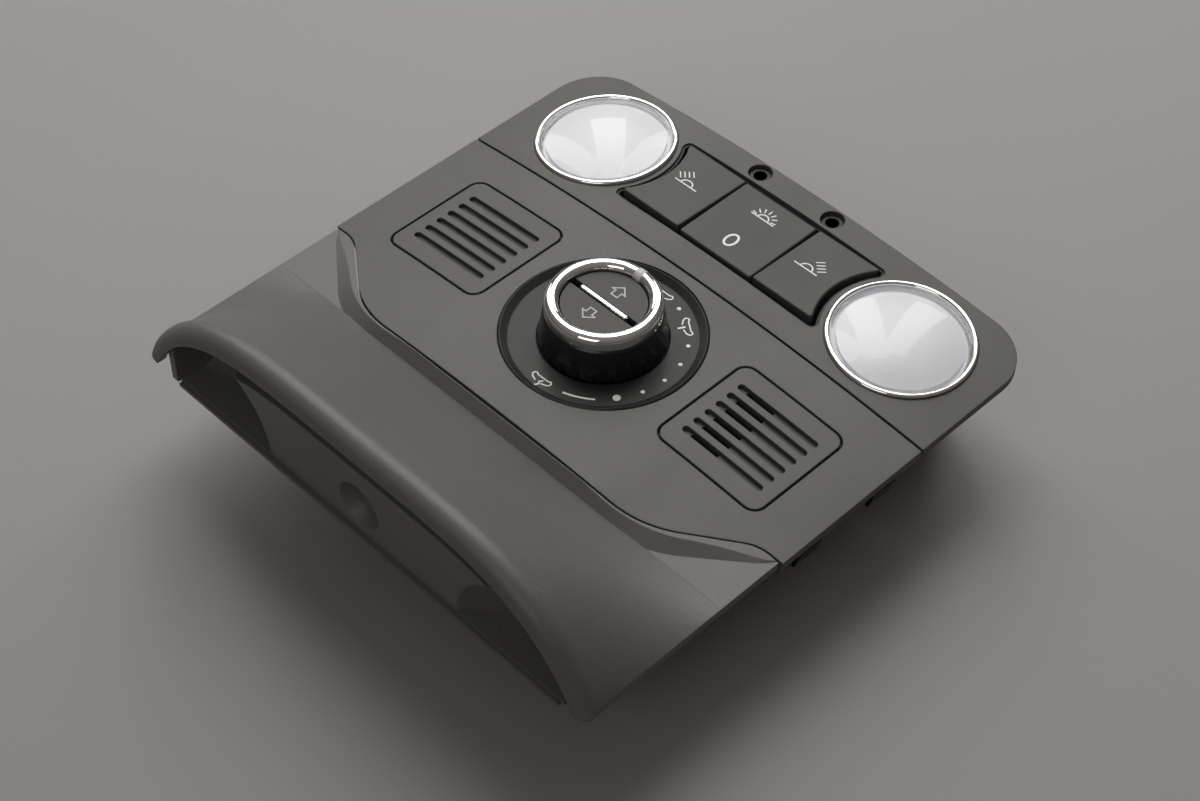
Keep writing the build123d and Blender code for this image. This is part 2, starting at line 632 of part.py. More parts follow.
# Grilles: slotted inserts that sit flush in the main panel, held by a hidden flange
for side, name in ((-1, "left_grille"), (1, "right_grille")):
    with BuildPart() as grille:
        with BuildSketch(Plane.XY.offset(FACE_Z - SKIRT_DEPTH)):
            with Locations((side * GRILLE_X, GRILLE_Y)):
                RectangleRounded(
                    GRILLE_W + 2 * GRILLE_GAP + 2 * FLANGE_W,
                    GRILLE_L + 2 * GRILLE_GAP + 2 * FLANGE_W,
                    GRILLE_R + GRILLE_GAP + FLANGE_W,
                )
        extrude(amount=SKIRT_DEPTH + 5)
        crown_band(10, -SKIN, HALF_W, -HALF_W, HALF_W, mode=Mode.SUBTRACT)
        with BuildSketch(Plane.XY.offset(FACE_Z - SKIRT_DEPTH)):
            with Locations((side * GRILLE_X, GRILLE_Y)):
                RectangleRounded(GRILLE_W, GRILLE_L, GRILLE_R)
        extrude(amount=SKIRT_DEPTH + 5)
        crown_band(10, 0, HALF_W, -HALF_W, HALF_W, mode=Mode.SUBTRACT)
        crown_band(-SKIN - FLANGE_T, -2 * SKIRT_DEPTH, HALF_W, -HALF_W, HALF_W, mode=Mode.SUBTRACT)
        with BuildSketch(Plane.XY.offset(FACE_Z - SKIRT_DEPTH)):
            with Locations((side * GRILLE_X, GRILLE_Y)):
                with GridLocations(0, SLOT_PITCH, 1, SLOT_COUNT):
                    SlotOverall(SLOT_LEN, SLOT_W)
        extrude(amount=SKIRT_DEPTH + 5, mode=Mode.SUBTRACT)
    grille.part.label = name
    export_step(grille.part, "parts/" + name + ".step")

    # Plate close behind the slots; the right one has a window for the cabin microphone
    with BuildPart() as backing:
        with BuildSketch(Plane.XY.offset(FACE_Z - SKIRT_DEPTH)):
            with Locations((side * GRILLE_X, GRILLE_Y)):
                Rectangle(SLOT_LEN + 2 * BACK_RIM, (SLOT_COUNT - 1) * SLOT_PITCH + SLOT_W + 2 * BACK_RIM)
            if side > 0:
                with Locations((WINDOW_X, GRILLE_Y)):
                    Rectangle(WINDOW_W, WINDOW_L, mode=Mode.SUBTRACT)
        extrude(amount=SKIRT_DEPTH + 5)
        crown_band(10, -SKIN - FLANGE_T, HALF_W, -HALF_W, HALF_W, mode=Mode.SUBTRACT)
        crown_band(-SKIN - FLANGE_T - BACK_T, -2 * SKIRT_DEPTH, HALF_W, -HALF_W, HALF_W, mode=Mode.SUBTRACT)
    backing.part.label = name + "_back"
    export_step(backing.part, "parts/" + name + "_back.step")

# Cabin microphone behind the window of the right grille
MIC_BOX_TOP = face_z(WINDOW_X + WINDOW_W / 2 + MIC_BOX_RIM, -SKIN - FLANGE_T - BACK_T)
with BuildPart() as cabin_microphone:
    with BuildSketch(Plane.XY.offset(MIC_BOX_TOP - MIC_BOX_H)):
        with Locations((WINDOW_X, GRILLE_Y)):
            RectangleRounded(WINDOW_W + 2 * MIC_BOX_RIM, WINDOW_L + 2 * MIC_BOX_RIM, MIC_BOX_RIM / 2)
    extrude(amount=MIC_BOX_H)
    with BuildSketch(Plane.XY.offset(MIC_BOX_TOP - MIC_BOX_H / 2)):
        with Locations((WINDOW_X, GRILLE_Y)):
            Rectangle(WINDOW_W, WINDOW_L)
    extrude(amount=MIC_BOX_H, mode=Mode.SUBTRACT)
    with BuildSketch(Plane.XY.offset(MIC_BOX_TOP - MIC_BOX_H / 2)):
        with Locations((WINDOW_X, GRILLE_Y)):
            Circle(CAPSULE_R)
    extrude(amount=CAPSULE_H)
cabin_microphone.part.label = "cabin_microphone"
export_step(cabin_microphone.part, "parts/cabin_microphone.step")

# Dial plate: a dished ring that carries the scale of the roof control
DIAL_FLAT_Z = FACE_Z - DIAL_SINK
with BuildPart() as dial_plate:
    with BuildSketch(Plane.XZ.offset(-DIAL_Y)):
        with BuildLine():
            Polyline(
                (KNOB_R + TOUCH, DIAL_FLAT_Z),
                (DIAL_FLAT_R, DIAL_FLAT_Z),
                (DIAL_R - DIAL_RIM, FACE_Z),
                (DIAL_R, FACE_Z - DIAL_RIM),
                (DIAL_R, DIAL_FLAT_Z - DIAL_T),
                (KNOB_R + TOUCH, DIAL_FLAT_Z - DIAL_T),
                close=True,
            )
        make_face()
    revolve(axis=Axis((0, DIAL_Y, 0), (0, 0, 1)))
dial_plate.part.label = "dial_plate"
export_step(dial_plate.part, "parts/dial_plate.step")

# Knob: a tapered sleeve with a bright ring on it, turning around a fixed column
KNOB_AXIS = Axis((0, DIAL_Y, 0), (0, 0, 1))
KNOB_LOW_Z = DIAL_FLAT_Z + KNOB_LIFT
KNOB_SEAT_Z = FACE_Z + RING_LOW
KNOB_RING_W = KNOB_RING_R - KNOB_BORE
with BuildPart() as knob_sleeve:
    with BuildSketch(Plane.XZ.offset(-DIAL_Y)):
        with BuildLine():
            Polyline(
                (KNOB_BORE, KNOB_LOW_Z),
                (KNOB_R, KNOB_LOW_Z),
                (KNOB_TOP_R, KNOB_SEAT_Z - KNOB_NECK),
                (KNOB_TOP_R - KNOB_NECK, KNOB_SEAT_Z),
                (KNOB_BORE, KNOB_SEAT_Z),
                close=True,
            )
        make_face()
    revolve(axis=KNOB_AXIS)
    # Grip grooves down the side
    with BuildSketch(Plane.XY.offset(KNOB_LOW_Z - 1)):
        with Locations((0, DIAL_Y)):
            with PolarLocations(KNOB_R, GRIP_COUNT, GRIP_START):
                Circle(GRIP_R)
    extrude(amount=KNOB_SEAT_Z - KNOB_LOW_Z - KNOB_NECK, mode=Mode.SUBTRACT)
knob_sleeve.part.label = "knob_sleeve"
export_step(knob_sleeve.part, "parts/knob_sleeve.step")


def ring_profile():
    """Half-round section of the bright ring."""
    with BuildSketch(Plane.XZ.offset(-DIAL_Y)) as profile:
        with BuildLine():
            low = Polyline(
                (KNOB_BORE, KNOB_SEAT_Z + RING_WALL),
                (KNOB_BORE, KNOB_SEAT_Z),
                (KNOB_RING_R, KNOB_SEAT_Z),
                (KNOB_RING_R, KNOB_SEAT_Z + RING_WALL),
            )
            ThreePointArc(
                low @ 1, ((KNOB_BORE + KNOB_RING_R) / 2, KNOB_SEAT_Z + RING_WALL + KNOB_RING_W / 2), low @ 0
            )
        make_face()
    return profile.sketch


with BuildPart() as knob_ring:
    revolve(ring_profile(), axis=KNOB_AXIS)
    with BuildSketch(Plane.XY.offset(KNOB_SEAT_Z + RING_WALL)):
        with Locations((0, DIAL_Y + KNOB_BORE)):
            Rectangle(POINTER_W, 2 * KNOB_RING_W + 2, align=(Align.CENTER, Align.CENTER))
    extrude(amount=KNOB_RING_W, mode=Mode.SUBTRACT)
knob_ring.part.label = "knob_ring"
export_step(knob_ring.part, "parts/knob_ring.step")

with BuildPart() as knob_pointer:
    revolve(ring_profile(), axis=KNOB_AXIS)
    with BuildSketch(Plane.XY.offset(KNOB_SEAT_Z + RING_WALL)):
        with Locations((0, DIAL_Y + KNOB_BORE)):
            Rectangle(
                POINTER_W - 2 * POINTER_FIT, 2 * KNOB_RING_W + 2, align=(Align.CENTER, Align.CENTER)
            )
    extrude(amount=KNOB_RING_W, mode=Mode.INTERSECT)
knob_pointer.part.label = "knob_pointer"
export_step(knob_pointer.part, "parts/knob_pointer.step")

# Fixed column inside the knob, on the lid of the roof control housing
CAP_TOP_Z = FACE_Z + RING_LOW + CAP_UP
COLUMN_TOP_Z = CAP_TOP_Z - CAP_T - PRESS - TOUCH
CONTROL_TOP_Z = FACE_Z - DIAL_SINK - DIAL_T - LEDGE_T
with BuildPart() as knob_column:
    with BuildSketch(Plane.XY.offset(CONTROL_TOP_Z - CONTROL_T)):
        with Locations((0, DIAL_Y)):
            RectangleRounded(CONTROL_W, CONTROL_L, CONTROL_R)
    extrude(amount=CONTROL_T)
    with BuildSketch(Plane.XY.offset(CONTROL_TOP_Z - CONTROL_T)):
        with Locations((0, DIAL_Y)):
            Circle(KNOB_BORE - COLUMN_FIT)
    extrude(amount=COLUMN_TOP_Z - CONTROL_TOP_Z + CONTROL_T)
    with BuildSketch(Plane.XY.offset(CONTROL_TOP_Z - CONTROL_T)):
        with Locations((0, DIAL_Y)):
            with GridLocations(LID_SCREW_X, LID_SCREW_Y, 2, 2):
                Circle(LID_SHANK_R + PIN_FIT)
    extrude(amount=CONTROL_T, mode=Mode.SUBTRACT)
knob_column.part.label = "knob_column"
export_step(knob_column.part, "parts/knob_column.step")

for side, name in ((1, "shade_open_button"), (-1, "shade_close_button")):
    with BuildPart() as half_button:
        with BuildSketch(Plane.XY.offset(CAP_TOP_Z - CAP_T)):
            with Locations((0, DIAL_Y)):
                Circle(CAP_R)
                with Locations((0, side * (BAR_W / 2 + BAR_FREE))):
                    Rectangle(
                        2 * CAP_R,
                        2 * CAP_R,
                        align=(Align.CENTER, Align.MIN if side > 0 else Align.MAX),
                        mode=Mode.INTERSECT,
                    )
        extrude(amount=CAP_T)
    half_button.part.label = name
    export_step(half_button.part, "parts/" + name + ".step")

with BuildPart() as knob_bar:
    with BuildSketch(Plane.XY.offset(COLUMN_TOP_Z)):
        with Locations((0, DIAL_Y)):
            SlotOverall(BAR_LEN, BAR_W)
    extrude(amount=CAP_TOP_Z + BAR_PROUD - COLUMN_TOP_Z)
    fillet(knob_bar.edges().group_by(Axis.Z)[-1], radius=BAR_PROUD * 0.8)
knob_bar.part.label = "knob_bar"
export_step(knob_bar.part, "parts/knob_bar.step")

# Housing of the roof control, below the knob
with BuildPart() as control_housing:
    with BuildSketch():
        with Locations((0, DIAL_Y)):
            RectangleRounded(CONTROL_W, CONTROL_L, CONTROL_R)
    extrude(amount=CONTROL_TOP_Z - CONTROL_T)
    offset(amount=-CONTROL_T, openings=control_housing.faces().sort_by(Axis.Z)[-1])
    with BuildSketch(Plane.XY.offset(CONTROL_T / 2)):
        with Locations((0, DIAL_Y)):
            with GridLocations(LID_SCREW_X, LID_SCREW_Y, 2, 2):
                Circle(LID_POST_R)
    extrude(amount=CONTROL_TOP_Z - 1.5 * CONTROL_T)
    with BuildSketch(Plane.XY.offset(CONTROL_TOP_Z - LID_SCREW_LEN)):
        with Locations((0, DIAL_Y)):
            with GridLocations(LID_SCREW_X, LID_SCREW_Y, 2, 2):
                Circle(LID_SHANK_R + PIN_FIT)
    extrude(amount=LID_SCREW_LEN, mode=Mode.SUBTRACT)
    with BuildSketch(at_y(DIAL_Y - CONTROL_L / 2)):
        with Locations((0, CONTROL_PLUG_Z)):
            RectangleRounded(PLUG_W + 2 * PLUG_FIT, PLUG_H + 2 * PLUG_FIT, PLUG_WALL + PLUG_FIT)
    extrude(amount=-CONTROL_T, mode=Mode.SUBTRACT)
control_housing.part.label = "control_housing"
export_step(control_housing.part, "parts/control_housing.step")


# Screws that hold the lid on the control housing
with BuildPart() as lid_screws:
    with BuildSketch(Plane.XY.offset(CONTROL_TOP_Z)):
        with Locations((0, DIAL_Y)):
            with GridLocations(LID_SCREW_X, LID_SCREW_Y, 2, 2):
                Circle(LID_HEAD_R)
    extrude(amount=LID_HEAD_H)
    with BuildSketch(Plane.XY.offset(CONTROL_TOP_Z)):
        with Locations((0, DIAL_Y)):
            with GridLocations(LID_SCREW_X, LID_SCREW_Y, 2, 2):
                Circle(LID_SHANK_R)
    extrude(amount=-LID_SCREW_LEN + 1)
lid_screws.part.label = "lid_screws"
export_step(lid_screws.part, "parts/lid_screws.step")

# Reading lights: ring, lens, reflector, bulb and bulb socket on each side
for side, hand in ((-1, "left_"), (1, "right_")):
    seat = lens_plane(side)
    lathe = lathe_plane(seat)
    axis = lens_axis(seat)

    with BuildPart() as lens_ring:
        with BuildSketch(lathe):
            with BuildLine():
                ring_wall = Polyline(
                    (RING_R - RING_T, RING_TOP - RING_T / 2),
                    (RING_R - RING_T, -RIM_DROP),
                    (RING_R, -RIM_DROP),
                    (RING_R, RING_TOP - RING_T / 2),
                )
                ThreePointArc(ring_wall @ 1, (RING_R - RING_T / 2, RING_TOP), ring_wall @ 0)
            make_face()
        revolve(axis=axis)
    lens_ring.part.label = hand + "lens_ring"
    export_step(lens_ring.part, "parts/" + hand + "lens_ring.step")

    with BuildPart() as lens:
        with BuildSketch(lathe):
            with BuildLine():
                dome = ThreePointArc(
                    (-LENS_R, LENS_EDGE), (0, LENS_EDGE + LENS_RISE), (LENS_R, LENS_EDGE)
                )
                Polyline(
                    dome @ 1,
                    (LENS_R, -RIM_DROP),
                    (LENS_R - LENS_T, -RIM_DROP),
                    (LENS_R - LENS_T, LENS_EDGE - LENS_T / 2),
                )
                ThreePointArc(
                    (LENS_R - LENS_T, LENS_EDGE - LENS_T / 2),
                    (0, LENS_EDGE + LENS_RISE - LENS_T),
                    (-LENS_R + LENS_T, LENS_EDGE - LENS_T / 2),
                )
                Polyline(
                    (-LENS_R + LENS_T, LENS_EDGE - LENS_T / 2),
                    (-LENS_R + LENS_T, -RIM_DROP),
                    (-LENS_R, -RIM_DROP),
                    dome @ 0,
                )
            make_face()
            with Locations((LENS_R, 0)):
                Rectangle(2 * LENS_R, 4 * LENS_R, mode=Mode.INTERSECT)
        revolve(axis=axis)
    lens.part.label = hand + "lens"
    export_step(lens.part, "parts/" + hand + "lens.step")

    with BuildPart() as reflector:
        with BuildSketch(lathe):
            with BuildLine():
                inside = ThreePointArc(
                    (BOWL_TOP_R, -RIM_DROP),
                    (BOWL_TOP_R * BOWL_BELLY, -RIM_DROP - BOWL_DEPTH * BOWL_BELLY),
                    (BOWL_LOW_R, -RIM_DROP - BOWL_DEPTH),
                )
                Line(inside @ 1, (BOWL_LOW_R, -RIM_DROP - BOWL_DEPTH - BOWL_T))
                outside = ThreePointArc(
                    (BOWL_LOW_R, -RIM_DROP - BOWL_DEPTH - BOWL_T),
                    (BOWL_TOP_R * BOWL_BELLY + BOWL_T, -RIM_DROP - BOWL_DEPTH * BOWL_BELLY - BOWL_T / 2),
                    (BOWL_TOP_R + BOWL_T, -RIM_DROP - BOWL_T),
                )
                Polyline(
                    outside @ 1,
                    (RING_R, -RIM_DROP - BOWL_T),
                    (RING_R, -RIM_DROP),
                    inside @ 0,
                )
            make_face()
        revolve(axis=axis)
    reflector.part.label = hand + "reflector"
    export_step(reflector.part, "parts/" + hand + "reflector.step")

    SOCKET_H = -RIM_DROP - BOWL_DEPTH - BOWL_T
    with BuildPart() as bulb_socket:
        with BuildSketch(lathe):
            with BuildLine():
                Polyline(
                    (0, SOCKET_H - SOCKET_LEN),
                    (SOCKET_R, SOCKET_H - SOCKET_LEN),
                    (SOCKET_R, SOCKET_H),
                    (BOWL_LOW_R - SOCKET_FIT, SOCKET_H),
                    (BOWL_LOW_R - SOCKET_FIT, SOCKET_H + SPIGOT_H),
                    (0, SOCKET_H + SPIGOT_H),
                    close=True,
                )
            make_face()
        revolve(axis=axis)
    bulb_socket.part.label = hand + "bulb_socket"
    export_step(bulb_socket.part, "parts/" + hand + "bulb_socket.step")

    BULB_H = SOCKET_H + SPIGOT_H
    with BuildPart() as bulb:
        with BuildSketch(lathe):
            with BuildLine():
                glass = Polyline(
                    (0, BULB_H),
                    (BULB_NECK_R, BULB_H),
                    (BULB_R, BULB_H + BULB_R),
                    (BULB_R, BULB_H + BULB_LEN - BULB_R),
                )
                tip = RadiusArc(glass @ 1, (0, BULB_H + BULB_LEN), -BULB_R)
                Line(tip @ 1, glass @ 0)
            make_face()
        revolve(axis=axis)
    bulb.part.label = hand + "bulb"
    export_step(bulb.part, "parts/" + hand + "bulb.step")

# Switch frame: a tray that lines the opening of the keys and carries their pivots
FRAME_LOW_Z = FACE_Z - FRAME_DROP
FRAME_TOP_Z = FRAME_LOW_Z + FRAME_T
BOARD_TOP_Z = BOARD_Z + BOARD_T
KEY_STEM_Y = KEY_FRONT_Y + STEM_IN
ROCKER_STEM_Y = ROCKER_BACK_Y - STEM_IN
SWITCH_SPOTS = ((-KEY_MID_X, KEY_STEM_Y), (KEY_MID_X, KEY_STEM_Y), (0, KEY_STEM_Y), (0, ROCKER_STEM_Y))
with BuildPart() as switch_frame:
    with BuildSketch(Plane.XY.offset(FRAME_LOW_Z)):
        add(trough_outline(LINER_FIT))
    extrude(amount=FRAME_DROP - LINER_DROP)
    with BuildSketch(Plane.XY.offset(FRAME_TOP_Z)):
        add(trough_outline(LINER_FIT + LINER_T))
    extrude(amount=FRAME_DROP, mode=Mode.SUBTRACT)
    # Posts and pivot pins
    for x, y, half in (
        (-KEY_MID_X, KEY_PIN_Y, KEY_POST_W / 2),
        (KEY_MID_X, KEY_PIN_Y, KEY_POST_W / 2),
        (0, ROCKER_MID_Y, ROCKER_POST_W / 2),
    ):
        with BuildSketch(at_x(x - half)):
            with Locations((y, FRAME_TOP_Z - FRAME_T / 2)):
                Rectangle(2 * POST_R, PIN_Z - FRAME_TOP_Z + FRAME_T / 2, align=(Align.CENTER, Align.MIN))
            with Locations((y, PIN_Z)):
                Circle(POST_R)
        extrude(amount=2 * half)
        pin_half = half + EAR_FREE + EAR_T + PIN_OVER
        with BuildSketch(at_x(x - pin_half)):
            with Locations((y, PIN_Z)):
                Circle(PIN_R)
        extrude(amount=2 * pin_half)
    with BuildSketch(Plane.XY.offset(FRAME_LOW_Z)):
        with Locations(*SWITCH_SPOTS):
            Circle(STEM_R + STEM_FREE)
    extrude(amount=FRAME_T, mode=Mode.SUBTRACT)
    # Legs that stand on the circuit board
    with BuildSketch(Plane.XY.offset(BOARD_TOP_Z)):
        with Locations((0, (TROUGH_FRONT_Y + TROUGH_BACK_Y) / 2)):
            with GridLocations(LEG_X, LEG_Y, 2, 2):
                Circle(LEG_R)
    extrude(amount=FRAME_LOW_Z - BOARD_TOP_Z + FRAME_T / 2)
switch_frame.part.label = "switch_frame"
export_step(switch_frame.part, "parts/switch_frame.step")

# Reading keys: hollow caps hinged at their far edge, their ends cut to follow the lenses
for side, name in ((-1, "left_reading_key"), (1, "right_reading_key")):
    with BuildPart() as reading_key:
        with BuildSketch(Plane.XY.offset(FACE_Z - KEY_DEPTH)):
            add(key_outline(side, 0, KEY_CORNER_R))
        extrude(amount=KEY_DEPTH + KEY_PROUD)
        with BuildSketch(at_x(0)):
            with BuildLine():
                Polyline(
                    (KEY_FRONT_Y, FACE_Z + KEY_PROUD),
                    (KEY_BACK_Y, FACE_Z - KEY_SINK),
                    (KEY_BACK_Y, FACE_Z + 2 * KEY_PROUD),
                    (KEY_FRONT_Y, FACE_Z + 2 * KEY_PROUD),
                    close=True,
                )
            make_face()
        extrude(amount=HALF_W, both=True, mode=Mode.SUBTRACT)
        fillet(reading_key.faces().sort_by(Axis.Z)[-1].edges(), radius=KEY_EDGE_R)
        with BuildSketch(Plane.XY.offset(FACE_Z - KEY_DEPTH)):
            add(key_outline(side, KEY_WALL, KEY_CORNER_R / 2))
        extrude(amount=KEY_DEPTH - KEY_T, mode=Mode.SUBTRACT)
        for ear in (-1, 1):
            ear_x = side * KEY_MID_X + ear * (KEY_POST_W / 2 + EAR_FREE + EAR_T / 2)
            with BuildSketch(at_x(ear_x - EAR_T / 2)):
                with Locations((KEY_PIN_Y, PIN_Z)):
                    Rectangle(2 * EAR_R, PIN_DROP - KEY_T / 2, align=(Align.CENTER, Align.MIN))
                    Circle(EAR_R)
                    Circle(PIN_R + PIN_FIT, mode=Mode.SUBTRACT)
            extrude(amount=EAR_T)
        with BuildSketch(Plane.XY.offset(FACE_Z - STEM_LOW)):
            with Locations((side * KEY_MID_X, KEY_STEM_Y)):
                Circle(STEM_R)
        extrude(amount=STEM_LOW - KEY_T / 2)
    reading_key.part.label = name
    export_step(reading_key.part, "parts/" + name + ".step")

# Courtesy light rocker, pivoted at its middle
with BuildPart() as courtesy_rocker:
    with BuildSketch(Plane.XY.offset(FACE_Z - KEY_DEPTH)):
        with Locations((0, ROCKER_MID_Y)):
            RectangleRounded(2 * ROCKER_HALF_W, ROCKER_BACK_Y - KEY_FRONT_Y, KEY_CORNER_R)
    extrude(amount=KEY_DEPTH + KEY_SINK)
    fillet(courtesy_rocker.faces().sort_by(Axis.Z)[-1].edges(), radius=KEY_EDGE_R)
    with BuildSketch(Plane.XY.offset(FACE_Z - KEY_DEPTH)):
        with Locations((0, ROCKER_MID_Y)):
            Rectangle(2 * (ROCKER_HALF_W - KEY_WALL), ROCKER_BACK_Y - KEY_FRONT_Y - 2 * KEY_WALL)
    extrude(amount=KEY_DEPTH - KEY_T, mode=Mode.SUBTRACT)
    for ear in (-1, 1):
        ear_x = ear * (ROCKER_POST_W / 2 + EAR_FREE + EAR_T / 2)
        with BuildSketch(at_x(ear_x - EAR_T / 2)):
            with Locations((ROCKER_MID_Y, PIN_Z)):
                Rectangle(2 * EAR_R, PIN_DROP - KEY_T / 2, align=(Align.CENTER, Align.MIN))
                Circle(EAR_R)
                Circle(PIN_R + PIN_FIT, mode=Mode.SUBTRACT)
        extrude(amount=EAR_T)
    with BuildSketch(Plane.XY.offset(FACE_Z - STEM_LOW)):
        with Locations((0, KEY_STEM_Y), (0, ROCKER_STEM_Y)):
            Circle(STEM_R)
    extrude(amount=STEM_LOW - KEY_T / 2)
courtesy_rocker.part.label = "courtesy_rocker"
export_step(courtesy_rocker.part, "parts/courtesy_rocker.step")

# Lamp housing: a tub behind the lens panel
HOUSING_X = HALF_W - SKIRT_IN - SKIRT_T - HOUSING_FIT
HOUSING_Y0 = SEAM_Y + SKIRT_IN + SKIRT_T + HOUSING_FIT
HOUSING_Y1 = BACK_Y - SKIRT_IN - SKIRT_T - HOUSING_FIT
HOUSING_MID = (HOUSING_Y0 + HOUSING_Y1) / 2
HOUSING_R = CORNER_R - SKIRT_IN - SKIRT_T - HOUSING_FIT
with BuildPart() as lamp_housing:
    with BuildSketch():
        with Locations((0, HOUSING_MID)):
            RectangleRounded(2 * HOUSING_X, HOUSING_Y1 - HOUSING_Y0, HOUSING_R)
    extrude(amount=FACE_Z)
    with BuildSketch(Plane.XY.offset(HOUSING_T)):
        with Locations((0, HOUSING_MID)):
            RectangleRounded(
                2 * (HOUSING_X - HOUSING_T), HOUSING_Y1 - HOUSING_Y0 - 2 * HOUSING_T, HOUSING_R - HOUSING_T
            )
    extrude(amount=FACE_Z, mode=Mode.SUBTRACT)
    with BuildSketch(Plane.XY.offset(SLEEVE_LOW)):
        with Locations((-SCREW_X, SCREW_Y), (SCREW_X, SCREW_Y)):
            Circle(BOSS_R)
    extrude(amount=FACE_Z - BOSS_DEPTH - SLEEVE_LOW)
    crown_band(20, -SKIN, HALF_W, 0, BACK_Y + 10, mode=Mode.SUBTRACT)
    for side in (-1, 1):
        with BuildSketch(lens_plane(side).offset(-LENS_NOTCH)):
            Circle(RING_R + RING_FIT)
        extrude(amount=2 * LENS_NOTCH, mode=Mode.SUBTRACT)
    with BuildSketch(Plane.XY.offset(FACE_Z - BOSS_DEPTH)):
        with Locations((-SCREW_X, SCREW_Y), (SCREW_X, SCREW_Y)):
            Circle(BOSS_R + SLEEVE_FIT)
    extrude(amount=BOSS_DEPTH, mode=Mode.SUBTRACT)
    with BuildSketch():
        with Locations((-SCREW_X, SCREW_Y), (SCREW_X, SCREW_Y)):
            Circle(SLEEVE_R + SLEEVE_FIT)
    extrude(amount=FACE_Z, mode=Mode.SUBTRACT)
    # Posts under the circuit board
    with BuildSketch(Plane.XY.offset(HOUSING_T / 2)):
        with Locations((0, HOUSING_MID)):
            with GridLocations(BOARD_POST_X, BOARD_POST_Y, 2, 2):
                Circle(BOARD_POST_R)
    extrude(amount=BOARD_Z - HOUSING_T / 2)
    with BuildSketch(at_y(HOUSING_Y0)):
        with Locations((LAMP_PLUG_X, LAMP_PLUG_Z)):
            RectangleRounded(PLUG_W + 2 * PLUG_FIT, PLUG_H + 2 * PLUG_FIT, PLUG_WALL + PLUG_FIT)
    extrude(amount=-HOUSING_T, mode=Mode.SUBTRACT)
lamp_housing.part.label = "lamp_housing"
export_step(lamp_housing.part, "parts/lamp_housing.step")

# Circuit board and its push switches
with BuildPart() as circuit_board:
    with BuildSketch(Plane.XY.offset(BOARD_Z)):
        with Locations((0, HOUSING_MID)):
            Rectangle(BOARD_W, BOARD_L)
    extrude(amount=BOARD_T)
circuit_board.part.label = "circuit_board"
export_step(circuit_board.part, "parts/circuit_board.step")

with BuildPart() as push_switches:
    with BuildSketch(Plane.XY.offset(BOARD_TOP_Z)):
        with Locations(*SWITCH_SPOTS):
            Rectangle(SWITCH_W, SWITCH_W)
    extrude(amount=SWITCH_BODY_H)
    with BuildSketch(Plane.XY.offset(BOARD_TOP_Z)):
        with Locations(*SWITCH_SPOTS):
            Circle(STEM_R)
    extrude(amount=FACE_Z - SWITCH_TOP - BOARD_TOP_Z)
push_switches.part.label = "push_switches"
export_step(push_switches.part, "parts/push_switches.step")

# Connectors: open shrouds that face the front, with a row of contacts
for name, x, y, z, wall in (
    ("control_connector", 0, DIAL_Y - CONTROL_L / 2, CONTROL_PLUG_Z, CONTROL_T),
    ("lamp_connector", LAMP_PLUG_X, HOUSING_Y0, LAMP_PLUG_Z, HOUSING_T),
):
    with BuildPart() as connector:
        with BuildSketch(at_y(y + wall)):
            with Locations((x, z)):
                RectangleRounded(PLUG_W, PLUG_H, PLUG_WALL)
        extrude(amount=wall + PLUG_DEPTH)
        with BuildSketch(at_y(y)):
            with Locations((x, z)):
                Rectangle(PLUG_W - 2 * PLUG_WALL, PLUG_H - 2 * PLUG_WALL)
        extrude(amount=PLUG_DEPTH, mode=Mode.SUBTRACT)
        with BuildSketch(at_y(y + wall / 2)):
            with Locations((x, z - PLUG_H / 2 + PLUG_WALL + CONTACT_UP)):
                with GridLocations(CONTACT_PITCH, 0, CONTACT_COUNT, 1):
                    Rectangle(CONTACT_SIZE, CONTACT_SIZE)
        extrude(amount=wall / 2 + CONTACT_LEN)
    connector.part.label = name
    export_step(connector.part, "parts/" + name + ".step")

# Metal sleeves of the two fixing screws
with BuildPart() as screw_sleeves:
    with BuildSketch(Plane.XY.offset(SLEEVE_LOW)):
        with Locations((-SCREW_X, SCREW_Y), (SCREW_X, SCREW_Y)):
            Circle(SLEEVE_R)
            Circle(SLEEVE_BORE, mode=Mode.SUBTRACT)
    extrude(amount=FACE_Z - COUNTERBORE_DEPTH + SLEEVE_PROUD - SLEEVE_LOW)
screw_sleeves.part.label = "screw_sleeves"
export_step(screw_sleeves.part, "parts/screw_sleeves.step")

# Spring clips straddling the side skirts of the main panel
CLIP_LOW_Z = face_z(HALF_W - SKIRT_IN, -SKIRT_DEPTH)
with BuildPart() as spring_clips:
    for side in (-1, 1):
        for y in (CLIP_Y0, CLIP_Y1):
            with BuildSketch(at_y(y + CLIP_W / 2)):
                with BuildLine():
                    x0 = side * (HALF_W - SKIRT_IN - SKIRT_T)
                    x1 = side * (HALF_W - SKIRT_IN)
                    Polyline(
                        (x0, CLIP_LOW_Z + CLIP_H),
                        (x0 - side * CLIP_T, CLIP_LOW_Z + CLIP_H),
                        (x0 - side * CLIP_T, CLIP_LOW_Z - CLIP_T),
                        (x1 + side * CLIP_T, CLIP_LOW_Z - CLIP_T),
                        (x1 + side * (CLIP_T + CLIP_BARB), CLIP_LOW_Z + CLIP_H / 2),
                        (x1 + side * CLIP_T, CLIP_LOW_Z + CLIP_H * 0.8),
                        (x1, CLIP_LOW_Z + CLIP_H * 0.8),
                        (x1 + side * CLIP_BARB, CLIP_LOW_Z + CLIP_H / 2),
                        (x1, CLIP_LOW_Z),
                        (x0, CLIP_LOW_Z),
                        close=True,
                    )
                make_face()
            extrude(amount=CLIP_W)
spring_clips.part.label = "spring_clips"
export_step(spring_clips.part, "parts/spring_clips.step")
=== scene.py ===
# %% [markdown]
# # A roof console with two reading lights
# The object is the overhead console of a car, lying face up. The construction model gives every
# rigid piece its place and size. This lesson gives the pieces their finish: grained plastic, chrome,
# clear lenses over fluted reflectors, and the white signs that are printed on keys and dial.

# %% Load the construction model
import bpy
import bmesh
import math
from mathutils import Matrix, Vector


